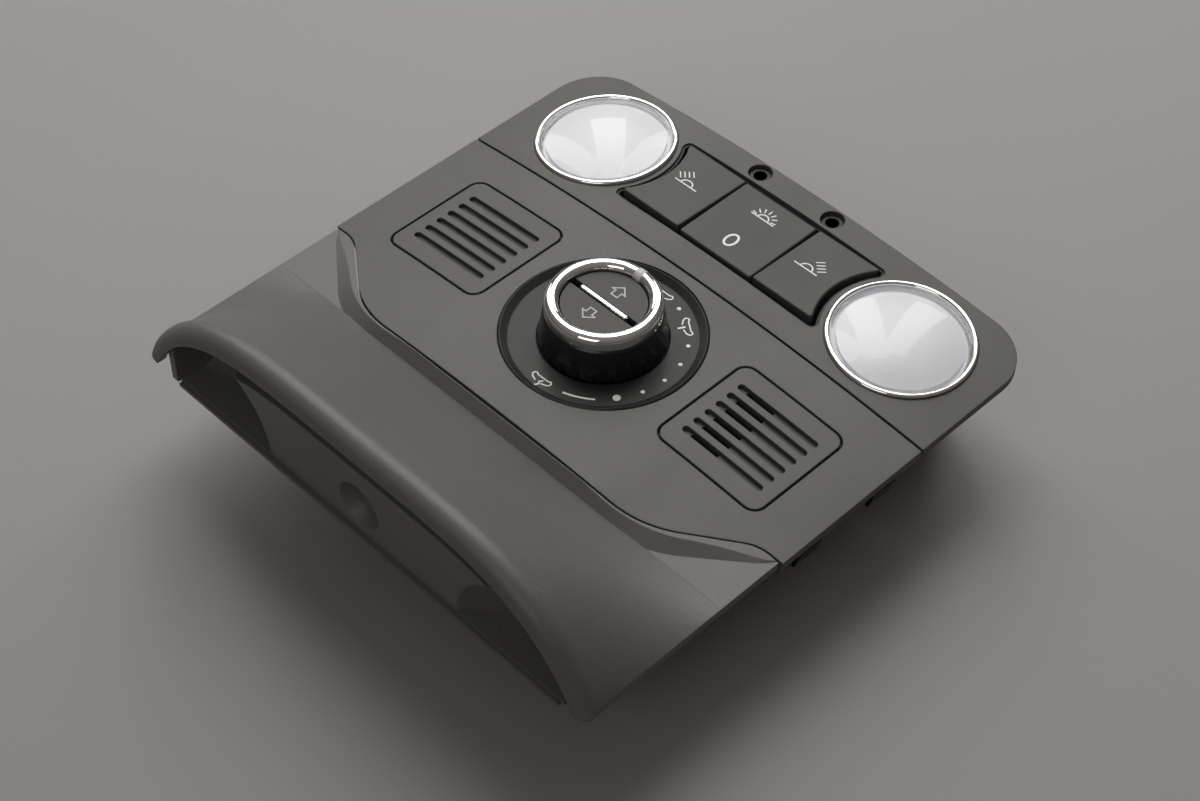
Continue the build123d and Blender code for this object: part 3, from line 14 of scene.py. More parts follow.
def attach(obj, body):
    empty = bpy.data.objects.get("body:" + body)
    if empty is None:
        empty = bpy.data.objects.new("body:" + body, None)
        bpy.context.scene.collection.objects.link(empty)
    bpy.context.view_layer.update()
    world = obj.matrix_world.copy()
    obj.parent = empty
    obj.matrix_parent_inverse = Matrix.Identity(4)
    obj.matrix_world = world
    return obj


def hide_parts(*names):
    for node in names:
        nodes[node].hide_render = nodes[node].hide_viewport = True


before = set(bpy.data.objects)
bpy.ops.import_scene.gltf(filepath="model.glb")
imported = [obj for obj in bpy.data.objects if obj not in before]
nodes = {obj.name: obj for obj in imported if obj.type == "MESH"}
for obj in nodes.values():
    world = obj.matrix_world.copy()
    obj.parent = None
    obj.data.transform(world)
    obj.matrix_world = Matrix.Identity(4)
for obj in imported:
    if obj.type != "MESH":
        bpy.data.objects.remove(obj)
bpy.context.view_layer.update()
scene = bpy.context.scene
MM = 0.001

# %% [markdown]
# ## Camera
# The photograph looks down on the console from its front right corner. The camera stands on a sphere
# around a point near the dial, so an azimuth, an elevation and a distance say all there is to say.
# A long lens keeps the parallel edges of the panels nearly parallel, as they are in the photograph.

# %% Set up the camera
VIEW_AZIMUTH = math.radians(44.69)
VIEW_ELEVATION = math.radians(47.43)
VIEW_ROLL = math.radians(0.84)
VIEW_DISTANCE = 642.5 * MM
VIEW_TARGET = Vector((18.10, -15.01, 42.0)) * MM
VIEW_LENS = 70.58

back = Vector((
    math.sin(VIEW_AZIMUTH) * math.cos(VIEW_ELEVATION),
    -math.cos(VIEW_AZIMUTH) * math.cos(VIEW_ELEVATION),
    math.sin(VIEW_ELEVATION),
))
level = Vector((math.cos(VIEW_AZIMUTH), math.sin(VIEW_AZIMUTH), 0.0))
upright = back.cross(level)
right = level * math.cos(VIEW_ROLL) + upright * math.sin(VIEW_ROLL)
up = upright * math.cos(VIEW_ROLL) - level * math.sin(VIEW_ROLL)

camera_data = bpy.data.cameras.new("photo_camera")
camera_data.sensor_fit = "HORIZONTAL"
camera_data.sensor_width = 36.0
camera_data.lens = VIEW_LENS
camera_data.clip_start = 0.01
camera = bpy.data.objects.new("photo_camera", camera_data)
scene.collection.objects.link(camera)
turn = Matrix((right, up, back)).transposed().to_4x4()
camera.matrix_world = Matrix.Translation(VIEW_TARGET + back * VIEW_DISTANCE) @ turn
scene.camera = camera
scene.view_settings.view_transform = "Standard"
print("camera at", [round(v, 3) for v in camera.matrix_world.translation])

# %% [markdown]
# ## Light
# The console was lit in a small studio. Three long soft panels hang side by side behind it at the left:
# they give the plastic its sheen and stand in the lenses as pale patches. A weak light fills the front.
# The room is a dim warm grey, which gives the chrome its brown edges.

# %% Hang the soft lights
def soft_light(name, place, aim, width, height, power, colour):
    """A rectangular light at a place, turned towards a point."""
    data = bpy.data.lights.new(name, "AREA")
    data.shape = "RECTANGLE"
    data.size = width
    data.size_y = height
    data.energy = power
    data.color = colour
    lamp = bpy.data.objects.new(name, data)
    scene.collection.objects.link(lamp)
    direction = Vector(aim) - Vector(place)
    turned = direction.to_track_quat("-Z", "Y").to_matrix().to_4x4()
    lamp.matrix_world = Matrix.Translation(place) @ turned


AIM = (0.0, 0.0, 0.04)
WARM = (1.0, 0.985, 0.965)
PANEL_W = 0.28
PANEL_L = 1.10
PANEL_GAP = 0.13
PANEL_POWER = 4.1
KEY_PLACE = Vector((-0.50, 0.47, 0.82))
KEY_ACROSS = Vector((0.69, 0.73, 0.0)).normalized()
for step in (-1, 0, 1):
    spot = KEY_PLACE + KEY_ACROSS * step * (PANEL_W + PANEL_GAP)
    soft_light(f"overhead_panel_{step + 2}", spot, AIM, PANEL_W, PANEL_L, PANEL_POWER, WARM)
FILL_PLACE = (0.35, -1.15, 0.95)
FILL_W = 0.8
FILL_L = 0.6
FILL_POWER = 2.6
soft_light("front_fill", FILL_PLACE, AIM, FILL_W, FILL_L, FILL_POWER, WARM)

# %% Paint the room
ROOM_LOW = (0.09, 0.075, 0.062, 1.0)
ROOM_HIGH = (0.22, 0.22, 0.22, 1.0)
ROOM_STRENGTH = 0.9
world = bpy.data.worlds.new("studio_room")
scene.world = world
world.use_nodes = True
room = world.node_tree
room.nodes.clear()
room_out = room.nodes.new("ShaderNodeOutputWorld")
room_light = room.nodes.new("ShaderNodeBackground")
room_place = room.nodes.new("ShaderNodeTexCoord")
room_split = room.nodes.new("ShaderNodeSeparateXYZ")
room_ramp = room.nodes.new("ShaderNodeValToRGB")
room_ramp.color_ramp.elements[0].position = 0.0
room_ramp.color_ramp.elements[0].color = ROOM_LOW
room_ramp.color_ramp.elements[1].position = 1.0
room_ramp.color_ramp.elements[1].color = ROOM_HIGH
room.links.new(room_place.outputs["Generated"], room_split.inputs[0])
room.links.new(room_split.outputs["Z"], room_ramp.inputs["Fac"])
room.links.new(room_ramp.outputs["Color"], room_light.inputs["Color"])
room.links.new(room_light.outputs["Background"], room_out.inputs["Surface"])
room_light.inputs["Strength"].default_value = ROOM_STRENGTH
print("room colours:", len(room_ramp.color_ramp.elements))

# %% [markdown]
# ## Finishes
# Each finish is a small node tree around one Principled shader. A helper makes the tree and wires a
# list of nodes, so that each finish below can be read as a recipe. All patterns use Object coordinates
# in metres: the pieces sit at the origin with their place in the mesh, so a pattern never slides.

# %% Helpers for node trees
def new_finish(name):
    """An empty material with a Principled shader on its output."""
    mat = bpy.data.materials.new(name)
    mat.use_nodes = True
    tree = mat.node_tree
    tree.nodes.clear()
    out = tree.nodes.new("ShaderNodeOutputMaterial")
    shader = tree.nodes.new("ShaderNodeBsdfPrincipled")
    tree.links.new(shader.outputs["BSDF"], out.inputs["Surface"])
    return mat, tree, shader


def add_node(tree, kind, inputs=None, **settings):
    """A node with settings; inputs hold plain values or sockets to link from."""
    made = tree.nodes.new(kind)
    for key, value in settings.items():
        setattr(made, key, value)
    for key, value in (inputs or {}).items():
        if isinstance(value, bpy.types.NodeSocket):
            tree.links.new(value, made.inputs[key])
        else:
            made.inputs[key].default_value = value
    return made


def mixed(tree, factor, low, high):
    """Colour between two values by a factor socket; inputs 6 and 7 of the node are its colours."""
    mix = add_node(tree, "ShaderNodeMix", {0: factor}, data_type="RGBA")
    for index, value in ((6, low), (7, high)):
        if isinstance(value, bpy.types.NodeSocket):
            tree.links.new(value, mix.inputs[index])
        else:
            mix.inputs[index].default_value = (*value, 1.0)
    return mix.outputs[2]


def tint(colour, share):
    """The same colour, lighter or darker."""
    return tuple(c * share for c in colour)


def surface_place(tree):
    return tree.nodes.new("ShaderNodeTexCoord").outputs["Object"]


def noise(tree, place, scale, detail):
    """Factor of a noise pattern, scale in cells per metre."""
    made = add_node(tree, "ShaderNodeTexNoise", {"Vector": place, "Scale": scale, "Detail": detail})
    return made.outputs["Fac"]


def ranged(tree, value, low, high, start=0.0, end=1.0):
    """A socket's value, moved from the range start..end to low..high."""
    made = add_node(tree, "ShaderNodeMapRange", {
        "Value": value, "From Min": start, "From Max": end, "To Min": low, "To Max": high,
    })
    return made.outputs[0]


def vector_math(tree, operation, one, two):
    made = add_node(tree, "ShaderNodeVectorMath", {0: one, 1: two}, operation=operation)
    return made.outputs["Value" if operation in ("DISTANCE", "DOT_PRODUCT") else "Vector"]


def scaled(tree, vector, scale):
    return add_node(tree, "ShaderNodeVectorMath", {0: vector, "Scale": scale}, operation="SCALE").outputs[0]


def soft_bump(tree, shader, edge, height, strength, distance, invert=False, samples=6):
    """Rounds the edges that the light sees, then lays a fine relief over them."""
    soft = add_node(tree, "ShaderNodeBevel", {"Radius": edge * MM}, samples=samples)
    bump = add_node(tree, "ShaderNodeBump", {
        "Height": height, "Strength": strength, "Distance": distance * MM, "Normal": soft.outputs[0],
    }, invert=invert)
    tree.links.new(bump.outputs[0], shader.inputs["Normal"])



# %% [markdown]
# ### Grained plastic
# The panels are moulded in a tool with a fine leather grain. Close up that is a field of tiny rounded
# cells with darker valleys; from afar it is an even, slightly cloudy matte grey. Voronoi cells give the
# grain, a slow noise gives the clouds, and a Bevel node softens the sharp edges of the solids.

# %% Grained plastic
def grained_plastic(name, colour, roughness, cell=0.75, depth=0.035, edge=0.45, cloud=0.06, sheen=0.5):
    mat, tree, shader = new_finish(name)
    place = surface_place(tree)
    warp = add_node(tree, "ShaderNodeTexNoise", {"Vector": place, "Scale": 900.0, "Detail": 2.0})
    bent = scaled(tree, warp.outputs["Color"], 0.35 * cell * MM)
    spot = vector_math(tree, "ADD", place, bent)
    cells = add_node(tree, "ShaderNodeTexVoronoi", {
        "Vector": spot, "Scale": 1.0 / (cell * MM),
    }, feature="SMOOTH_F1").outputs["Distance"]
    fine = noise(tree, place, 2600.0, 3.0)
    slow = noise(tree, place, 38.0, 4.0)
    grain = add_node(tree, "ShaderNodeMath", {0: cells, 1: fine, 2: 0.1}, operation="MULTIPLY_ADD")
    clouds = mixed(tree, slow, tint(colour, 1 - cloud), tint(colour, 1 + cloud))
    valley = ranged(tree, cells, 0.0, 1.0, 0.25, 0.85)
    base = mixed(tree, valley, clouds, tint(colour, 0.86))
    tree.links.new(base, shader.inputs["Base Color"])
    gloss = ranged(tree, slow, roughness - 0.04, roughness + 0.05, 0.3, 0.7)
    tree.links.new(gloss, shader.inputs["Roughness"])
    soft_bump(tree, shader, edge, grain.outputs[0], 0.35, depth, invert=True)
    shader.inputs["Specular IOR Level"].default_value = sheen
    return mat


panel_finish = grained_plastic("panel_grain", (0.080, 0.079, 0.076), 0.47, sheen=0.42)
lens_panel_finish = grained_plastic("lens_panel_grain", (0.068, 0.067, 0.064), 0.48, sheen=0.42)
# Painted light: the nose and its cheeks are the same plastic as the panels, but their colour is set lighter to
# stand in for the light that the sloping nose catches.
nose_lightened_finish = grained_plastic("nose_grain_painted_light", (0.112, 0.109, 0.104), 0.47)
# Painted light: the fascia strip, its cap, flange, arms and scoop floors are the same plastic again, set
# lighter still to stand in for light falling on the shaded front.
fascia_lightened_finish = grained_plastic("fascia_grain_painted_light", (0.120, 0.118, 0.115), 0.48)
key_finish = grained_plastic(
    "key_grain", (0.058, 0.058, 0.056), 0.52, sheen=0.4, cell=0.5, depth=0.02, cloud=0.04)
grille_finish = grained_plastic(
    "grille_grain", (0.070, 0.069, 0.066), 0.47, sheen=0.42, cell=0.55, depth=0.025)
hidden_finish = grained_plastic("housing_grain", (0.038, 0.038, 0.039), 0.58, cell=0.9, depth=0.03)
inner_finish = grained_plastic("inner_grain", (0.018, 0.018, 0.018), 0.65, cell=0.9, depth=0.02)
socket_finish = grained_plastic("socket_grain", (0.30, 0.29, 0.27), 0.5, cell=0.8, depth=0.02)
print("grained finishes:", sum("grain" in m.name for m in bpy.data.materials))

# %% [markdown]
# ### Satin plastic
# Dial, knob sleeve and the half buttons are moulded in a finer, nearly black satin. The texture is too
# small to see as cells, so a single fine noise breaks up the highlight.

# %% Satin plastic
def satin_plastic(name, colour, roughness, edge=0.3, sheen=0.5):
    mat, tree, shader = new_finish(name)
    place = surface_place(tree)
    fine = noise(tree, place, 2200.0, 3.0)
    slow = noise(tree, place, 55.0, 3.0)
    base = mixed(tree, slow, tint(colour, 0.93), tint(colour, 1.08))
    tree.links.new(base, shader.inputs["Base Color"])
    gloss = ranged(tree, fine, roughness - 0.05, roughness + 0.05, 0.3, 0.7)
    tree.links.new(gloss, shader.inputs["Roughness"])
    soft_bump(tree, shader, edge, fine, 0.3, SATIN_GRAIN)
    shader.inputs["Specular IOR Level"].default_value = sheen
    return mat


SATIN_GRAIN = 0.012
dial_finish = satin_plastic("dial_satin", (0.024, 0.024, 0.023), 0.40, edge=0.5, sheen=0.25)
knob_finish = satin_plastic("knob_satin", (0.008, 0.008, 0.008), 0.30, edge=0.4)
button_finish = satin_plastic("button_satin", (0.034, 0.033, 0.032), 0.45, sheen=0.35)
pointer_finish = satin_plastic("pointer_satin", (0.55, 0.54, 0.52), 0.35)
connector_finish = satin_plastic("connector_satin", (0.035, 0.035, 0.037), 0.45)
board_finish = satin_plastic("board_lacquer", (0.035, 0.15, 0.07), 0.35)
print("satin finishes:", sum("satin" in m.name for m in bpy.data.materials))

# %% [markdown]
# ### Metal
# Knob ring, bar and lens rings are chrome plated plastic: a mirror with a trace of haze. The screw
# sleeves and clips are blackened steel. The screws of the hidden side are zinc plated, slightly yellow.

# %% Metal
def plated_metal(name, colour, roughness, haze, brush=0.0):
    mat, tree, shader = new_finish(name)
    place = surface_place(tree)
    fine = noise(tree, place, 700.0, 4.0)
    slow = noise(tree, place, 60.0, 2.0)
    base = mixed(tree, slow, tint(colour, 0.95), tint(colour, 1.02))
    tree.links.new(base, shader.inputs["Base Color"])
    gloss = ranged(tree, fine, roughness, roughness + haze, 0.35, 0.75)
    tree.links.new(gloss, shader.inputs["Roughness"])
    soft_bump(tree, shader, METAL_EDGE, fine, 0.2, brush, samples=4)
    shader.inputs["Metallic"].default_value = 1.0
    return mat


METAL_EDGE = 0.25
chrome_finish = plated_metal("bright_chrome", (0.86, 0.85, 0.84), 0.03, 0.04)
sleeve_finish = plated_metal("black_oxide", (0.045, 0.043, 0.040), 0.35, 0.15, brush=0.01)
zinc_finish = plated_metal("zinc_plate", (0.60, 0.58, 0.52), 0.28, 0.15, brush=0.01)
print("metal finishes:", [m.name for m in (chrome_finish, sleeve_finish, zinc_finish)])

# %% [markdown]
# ### Lens and lamp
# The lens is a clear dome, polished outside and frosted inside, so the lamp behind it shows only as a
# soft glow. Both sides belong to one solid: the distance from the centre of the dome's sphere tells
# them apart. The frosted side is a thin white veil, and the polished side mostly lets light pass.

# %% Clear and frosted lens
FACE_Z = 42.0
CROWN_R = 794.0
LENS_X = 59.0
LENS_Y = 63.95
LENS_R = 20.2
LENS_RISE = 4.2
LENS_EDGE = 0.3
FROST = 0.88
POLISH = 0.35
INNER_AT = 0.9
OUTER_AT = 0.3
DOME_R = (LENS_R ** 2 + LENS_RISE ** 2) / (2 * LENS_RISE)


def face_z(x):
    return FACE_Z - (CROWN_R - math.sqrt(CROWN_R ** 2 - x * x))


def lens_frame(side):
    """Origin and axes of one lens, square to the crowned face."""
    tilt = math.asin(LENS_X / CROWN_R)
    axis = Vector((side * math.sin(tilt), 0.0, math.cos(tilt)))
    across = Vector((math.cos(tilt), 0.0, -side * math.sin(tilt)))
    return Vector((side * LENS_X, LENS_Y, face_z(LENS_X))), across, axis


def lens_plastic(name, side):
    origin, across, axis = lens_frame(side)
    heart = (origin + axis * (LENS_EDGE + LENS_RISE - DOME_R)) * MM
    mat, tree, shader = new_finish(name)
    place = surface_place(tree)
    reach = vector_math(tree, "DISTANCE", place, heart)
    outer = ranged(tree, reach, 0.0, 1.0, (DOME_R - INNER_AT) * MM, (DOME_R - OUTER_AT) * MM)
    base = mixed(tree, noise(tree, place, 120.0, 2.0), (0.93, 0.93, 0.97), (0.98, 0.98, 1.0))
    tree.links.new(base, shader.inputs["Base Color"])
    tree.links.new(outer, shader.inputs["Transmission Weight"])
    tree.links.new(ranged(tree, outer, 0.35, 0.02), shader.inputs["Roughness"])
    tree.links.new(ranged(tree, outer, FROST, POLISH), shader.inputs["Alpha"])
    shader.inputs["IOR"].default_value = 1.49
    shader.inputs["Specular IOR Level"].default_value = 1.0
    return mat


def lamp_glass(name):
    mat, tree, shader = new_finish(name)
    slow = noise(tree, surface_place(tree), 300.0, 2.0)
    base = mixed(tree, slow, (0.92, 0.91, 0.88), (0.98, 0.97, 0.94))
    tree.links.new(base, shader.inputs["Base Color"])
    tree.links.new(ranged(tree, slow, 0.02, 0.10), shader.inputs["Roughness"])
    shader.inputs["Transmission Weight"].default_value = 0.6
    return mat


def silvered_plastic(name, side):
    """Silver inside the bowl, bare dark plastic outside, told apart by the way a face looks."""
    mat, tree, shader = new_finish(name)
    coords = tree.nodes.new("ShaderNodeTexCoord").outputs
    place = coords["Object"]
    heart = Vector((side * LENS_X, LENS_Y, 0.0)) * MM
    outward = vector_math(tree, "SUBTRACT", place, heart)
    level_out = vector_math(tree, "MULTIPLY", outward, (1.0, 1.0, 0.0))
    looks = vector_math(tree, "DOT_PRODUCT", level_out, coords["Normal"])
    silver = ranged(tree, looks, 1.0, 0.05, 0.0, 1.0 * MM)
    shine = add_node(tree, "ShaderNodeMath", {0: silver, 1: 0.45}, operation="MULTIPLY")
    tree.links.new(shine.outputs[0], shader.inputs["Metallic"])
    slow = noise(tree, place, 90.0, 3.0)
    base = mixed(tree, slow, (0.90, 0.90, 0.93), (0.97, 0.97, 0.99))
    tree.links.new(scaled(tree, base, silver), shader.inputs["Base Color"])
    tree.links.new(ranged(tree, slow, 0.22, 0.36), shader.inputs["Roughness"])
    return mat


left_lens_finish = lens_plastic("left_lens_clear", -1)
right_lens_finish = lens_plastic("right_lens_clear", 1)
bulb_finish = lamp_glass("lamp_bulb_glass")
left_silver_finish = silvered_plastic("left_reflector_silver", -1)
right_silver_finish = silvered_plastic("right_reflector_silver", 1)
print("dome radius in mm:", round(DOME_R, 2))

# %% Dress the solids
FINISHES = {
    panel_finish: ("main_panel",),
    lens_panel_finish: ("lens_panel",),
    nose_lightened_finish: ("nose_cover",),
    fascia_lightened_finish: ("front_fascia", "microphone_cap"),
    grille_finish: ("left_grille", "right_grille", "left_grille_back", "right_grille_back"),
    key_finish: ("left_reading_key", "right_reading_key", "courtesy_rocker"),
    dial_finish: ("dial_plate",),
    knob_finish: ("knob_sleeve",),
    button_finish: ("shade_open_button", "shade_close_button"),
    pointer_finish: ("knob_pointer",),
    chrome_finish: ("knob_ring", "knob_bar", "left_lens_ring", "right_lens_ring"),
    left_lens_finish: ("left_lens",),
    right_lens_finish: ("right_lens",),
    left_silver_finish: ("left_reflector",),
    right_silver_finish: ("right_reflector",),
    bulb_finish: ("left_bulb", "right_bulb"),
    socket_finish: ("left_bulb_socket", "right_bulb_socket", "push_switches"),
    inner_finish: ("switch_frame", "cabin_microphone", "knob_column"),
    hidden_finish: ("control_housing", "lamp_housing"),
    connector_finish: ("control_connector", "lamp_connector"),
    board_finish: ("circuit_board",),
    sleeve_finish: ("screw_sleeves", "spring_clips"),
    zinc_finish: ("lid_screws",),
}
for finish, names in FINISHES.items():
    for name in names:
        nodes[name].data.materials.clear()
        nodes[name].data.materials.append(finish)
bare = set(nodes) - {n for names in FINISHES.values() for n in names}
print("dressed:", len(nodes) - len(bare), "bare:", sorted(bare))

# %% [markdown]
# ## Printed signs
# The signs are white pad print on the keys, the dial and the half buttons. Each sign is drawn as strokes
# in the plane of its carrier, and lies there as a film a few hundredths of a millimetre thick, so it
# keeps its place from every side and rides with its key.

# %% White print
def print_ink(name, colour):
    mat, tree, shader = new_finish(name)
    fine = noise(tree, surface_place(tree), 1500.0, 2.0)
    base = mixed(tree, fine, tint(colour, 0.9), colour)
    tree.links.new(base, shader.inputs["Base Color"])
    tree.links.new(ranged(tree, fine, 0.4, 0.6), shader.inputs["Roughness"])
    return mat


ink_finish = print_ink("white_print", (0.82, 0.82, 0.80))
grey_ink_finish = print_ink("grey_print", (0.50, 0.50, 0.49))
FILM = 0.04


def keep_piece(name, shape, finish, body, crease=None):
    """Turn a closed shape into a piece that rides with a body; faces are smooth up to a crease angle."""
    bmesh.ops.recalc_face_normals(shape, faces=shape.faces)
    if crease is not None:
        for face in shape.faces:
            face.smooth = True
        for edge in shape.edges:
            edge.smooth = edge.calc_face_angle(0.0) < crease
    data = bpy.data.meshes.new(name)
    shape.to_mesh(data)
    shape.free()
    data.materials.append(finish)
    piece = bpy.data.objects.new(name, data)
    scene.collection.objects.link(piece)
    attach(piece, body)
    print(name, "faces:", len(data.polygons))
    return piece


class Sign:
    """Flat strokes, collected in one mesh and laid on a surface."""

    def __init__(self, name, body, slot, height, ink=ink_finish):
        self.name = name
        self.body = body
        self.slot = slot
        self.height = height
        self.ink = ink
        self.mesh = bmesh.new()

    def face(self, points):
        low = [self.mesh.verts.new((x, y, self.height(x, y) - FILM)) for x, y in points]
        top = [self.mesh.verts.new((x, y, self.height(x, y) + FILM)) for x, y in points]
        self.mesh.faces.new(top)
        self.mesh.faces.new(low[::-1])
        count = len(points)
        for i in range(count):
            j = (i + 1) % count
            self.mesh.faces.new((low[i], low[j], top[j], top[i]))

    def stroke(self, points, width, closed=False):
        """A line of even width along the points, with square corners."""
        path = [Vector(p) for p in points]
        count = len(path)
        sides = []
        for i, p in enumerate(path):
            before = path[i - 1] if i > 0 or closed else None
            after = path[(i + 1) % count] if i < count - 1 or closed else None
            run_in = (p - before).normalized() if before is not None else (after - p).normalized()
            run_out = (after - p).normalized() if after is not None else run_in
            bend = Vector((-(run_in.y + run_out.y), run_in.x + run_out.x))
            bend.normalize()
            reach = width / 2 / max(0.4, bend.dot(Vector((-run_in.y, run_in.x))))
            sides.append((p + bend * reach, p - bend * reach))
        for i in range(count if closed else count - 1):
            a, b = sides[i], sides[(i + 1) % count]
            self.face([tuple(a[1]), tuple(b[1]), tuple(b[0]), tuple(a[0])])

    def finish(self):
        for v in self.mesh.verts:
            v.co *= MM
        return keep_piece(self.name, self.mesh, self.ink, self.body)


def arc(x, y, radius, start, end, steps=16):
    """Points on an arc, angles in degrees."""
    return [
        (x + radius * math.cos(math.radians(start + (end - start) * k / steps)),
         y + radius * math.sin(math.radians(start + (end - start) * k / steps)))
        for k in range(steps + 1)
    ]


# %% [markdown]
# ### Signs on the keys
# A reading key shows a lamp under a ceiling line with rays to its own side. The rocker shows a lamp with
# rays all round on its far half and a plain 0 on its near half.

# %% Key signs
KEY_FRONT_Y = 49.45
KEY_BACK_Y = 79.15
KEY_TOP_FRONT = 43.0
KEY_TOP_BACK = 41.8
ROCKER_TOP = 42.2
LINE = 0.45


def key_top(x, y):
    share = (y - KEY_FRONT_Y) / (KEY_BACK_Y - KEY_FRONT_Y)
    return KEY_TOP_FRONT + (KEY_TOP_BACK - KEY_TOP_FRONT) * share


def reading_sign(name, body, x, y, side):
    sign = Sign(name, body, "key_plastic", key_top)
    sign.stroke([(x - 4.3, y), (x + 4.3, y)], LINE)
    sign.stroke(arc(x, y, 2.1, 0, 180), LINE)
    for k in range(4):
        a = (x + side * (3.3 - 0.95 * k), y + 1.3 + 0.95 * k)
        sign.stroke([a, (a[0] + side * 1.9, a[1] + 1.9)], 0.38)
    return sign.finish()


reading_sign("left_key_sign", "left_key", -26.0, 64.5, -1)
reading_sign("right_key_sign", "right_key", 22.9, 63.5, 1)

rocker_sign = Sign("rocker_sign", "rocker", "key_plastic", lambda x, y: ROCKER_TOP)
rocker_sign.stroke([(-4.4, 70.0), (4.4, 70.0)], LINE)
rocker_sign.stroke(arc(0, 70.0, 1.9, 0, 180), LINE)
for k in range(7):
    angle = math.radians(12 + 26 * k)
    rocker_sign.stroke([
        (2.8 * math.cos(angle), 70.0 + 2.8 * math.sin(angle)),
        (4.5 * math.cos(angle), 70.0 + 4.5 * math.sin(angle)),
    ], 0.4)
ZERO_POINTS = 28
zero = []
for k in range(ZERO_POINTS):
    angle = 2 * math.pi * k / ZERO_POINTS
    zero.append((-0.3 + 1.75 * math.cos(angle), 57.0 + 2.6 * math.sin(angle)))
rocker_sign.stroke(zero, 0.75, closed=True)
rocker_sign.finish()

# %% [markdown]
# ### Scale on the dial
# The knob turns from the closed roof at the top over the tilted roof and a row of dots to the open roof
# at the bottom. The dots repeat along a circle, so Geometry Nodes lays them out: a row of points, set at
# even steps along the circle, carries one small disc each.

# %% Dial signs
DIAL_Y = 4.25
DIAL_Z = 40.3
SCALE_R = 24.1


def on_dial(angle, radius=SCALE_R):
    return (radius * math.cos(math.radians(angle)), DIAL_Y + radius * math.sin(math.radians(angle)))


def roof_shape(angle, points):
    """Points of a roof sign, drawn upright, turned to stand on the dial at an angle."""
    x0, y0 = on_dial(angle)
    along = math.radians(angle - 90)
    return [
        (x0 + px * math.cos(along) - py * math.sin(along), y0 + px * math.sin(along) + py * math.cos(along))
        for px, py in points
    ]


CAR_END = [(1.0, -1.4), (2.7, -0.8), (3.4, -0.1), (3.3, 0.6), (2.7, 1.0), (1.9, 0.6)]
CAR = CAR_END + [(-px, py) for px, py in CAR_END[::-1]]
SIGN_LINE = 0.42
dial_sign = Sign("dial_sign", "base", "dial_plastic", lambda x, y: DIAL_Z)
dial_sign.stroke(roof_shape(90, CAR), SIGN_LINE, closed=True)
dial_sign.stroke(roof_shape(54, CAR), SIGN_LINE)
dial_sign.stroke(roof_shape(54, [(0.0, -0.6), (0.3, -2.9)]), 0.6)
dial_sign.stroke(roof_shape(-90, [(px, -py) for px, py in CAR]), SIGN_LINE)
dial_sign.stroke(roof_shape(-90, [(-0.9, 0.1), (-0.2, 1.0), (-0.7, 1.9), (0.0, 2.9)]), SIGN_LINE)
dial_sign.stroke(arc(0, DIAL_Y, SCALE_R + 0.5, -72, -50), 0.6)
dial_sign.finish()


def new_tree(name, inputs):
    """A Geometry Nodes tree with named inputs and one geometry output."""
    tree = bpy.data.node_groups.new(name, "GeometryNodeTree")
    for label, kind in inputs.items():
        tree.interface.new_socket(label, in_out="INPUT", socket_type="NodeSocket" + kind)
    tree.interface.new_socket("Geometry", in_out="OUTPUT", socket_type="NodeSocketGeometry")
    given = tree.nodes.new("NodeGroupInput").outputs
    result = tree.nodes.new("NodeGroupOutput").inputs[0]
    return tree, given, result


def number_math(tree, operation, *values):
    return add_node(tree, "ShaderNodeMath", dict(enumerate(values)), operation=operation).outputs[0]


def moved(tree, geometry, x, y, z):
    """Geometry with every point set to the place that three sockets give."""
    spot = add_node(tree, "ShaderNodeCombineXYZ", {"X": x, "Y": y, "Z": z}).outputs[0]
    return add_node(tree, "GeometryNodeSetPosition", {"Geometry": geometry, "Position": spot}).outputs[0]


def painted(tree, geometry, finish, result):
    """Give the geometry its finish and send it to the output of the tree."""
    done = add_node(tree, "GeometryNodeSetMaterial", {"Geometry": geometry, "Material": finish})
    tree.links.new(done.outputs[0], result)


def copies(tree, points, instance, **more):
    """Real copies of one shape on every point."""
    rows = add_node(tree, "GeometryNodeInstanceOnPoints", {"Points": points, "Instance": instance, **more})
    return add_node(tree, "GeometryNodeRealizeInstances", {"Geometry": rows.outputs[0]}).outputs[0]


def dot_row_tree():
    """Geometry Nodes: discs at even steps along a circle."""
    tree, given, result = new_tree("dot_row", {
        "Count": "Int", "Radius": "Float", "Start": "Float", "Step": "Float",
        "Dot Radius": "Float", "Height": "Float", "Centre Y": "Float", "Ink": "Material",
    })
    line = add_node(tree, "GeometryNodeMeshLine", {"Count": given["Count"]}).outputs[0]
    index = tree.nodes.new("GeometryNodeInputIndex").outputs[0]
    angle = number_math(tree, "MULTIPLY_ADD", index, given["Step"], given["Start"])
    x = number_math(tree, "MULTIPLY", number_math(tree, "COSINE", angle), given["Radius"])
    y = number_math(tree, "MULTIPLY_ADD", number_math(tree, "SINE", angle), given["Radius"], given["Centre Y"])
    points = moved(tree, line, x, y, given["Height"])
    dot = add_node(tree, "GeometryNodeMeshCylinder", {
        "Vertices": 24, "Radius": given["Dot Radius"], "Depth": 2 * FILM * MM,
    }).outputs[0]
    painted(tree, copies(tree, points, dot), given["Ink"], result)
    return tree


def from_nodes(name, tree, values, body):
    """Run a Geometry Nodes tree once and keep its result as a plain mesh piece."""
    maker = bpy.data.objects.new(name + "_maker", bpy.data.meshes.new(name + "_maker"))
    scene.collection.objects.link(maker)
    modifier = maker.modifiers.new("nodes", "NODES")
    modifier.node_group = tree
    for item in tree.interface.items_tree:
        if item.in_out == "INPUT" and item.name in values:
            modifier[item.identifier] = values[item.name]
    shaped = maker.evaluated_get(bpy.context.evaluated_depsgraph_get())
    data = bpy.data.meshes.new_from_object(shaped)
    data.name = name
    bpy.data.objects.remove(maker)
    piece = bpy.data.objects.new(name, data)
    scene.collection.objects.link(piece)
    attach(piece, body)
    print(name, "faces:", len(data.polygons))
    return piece


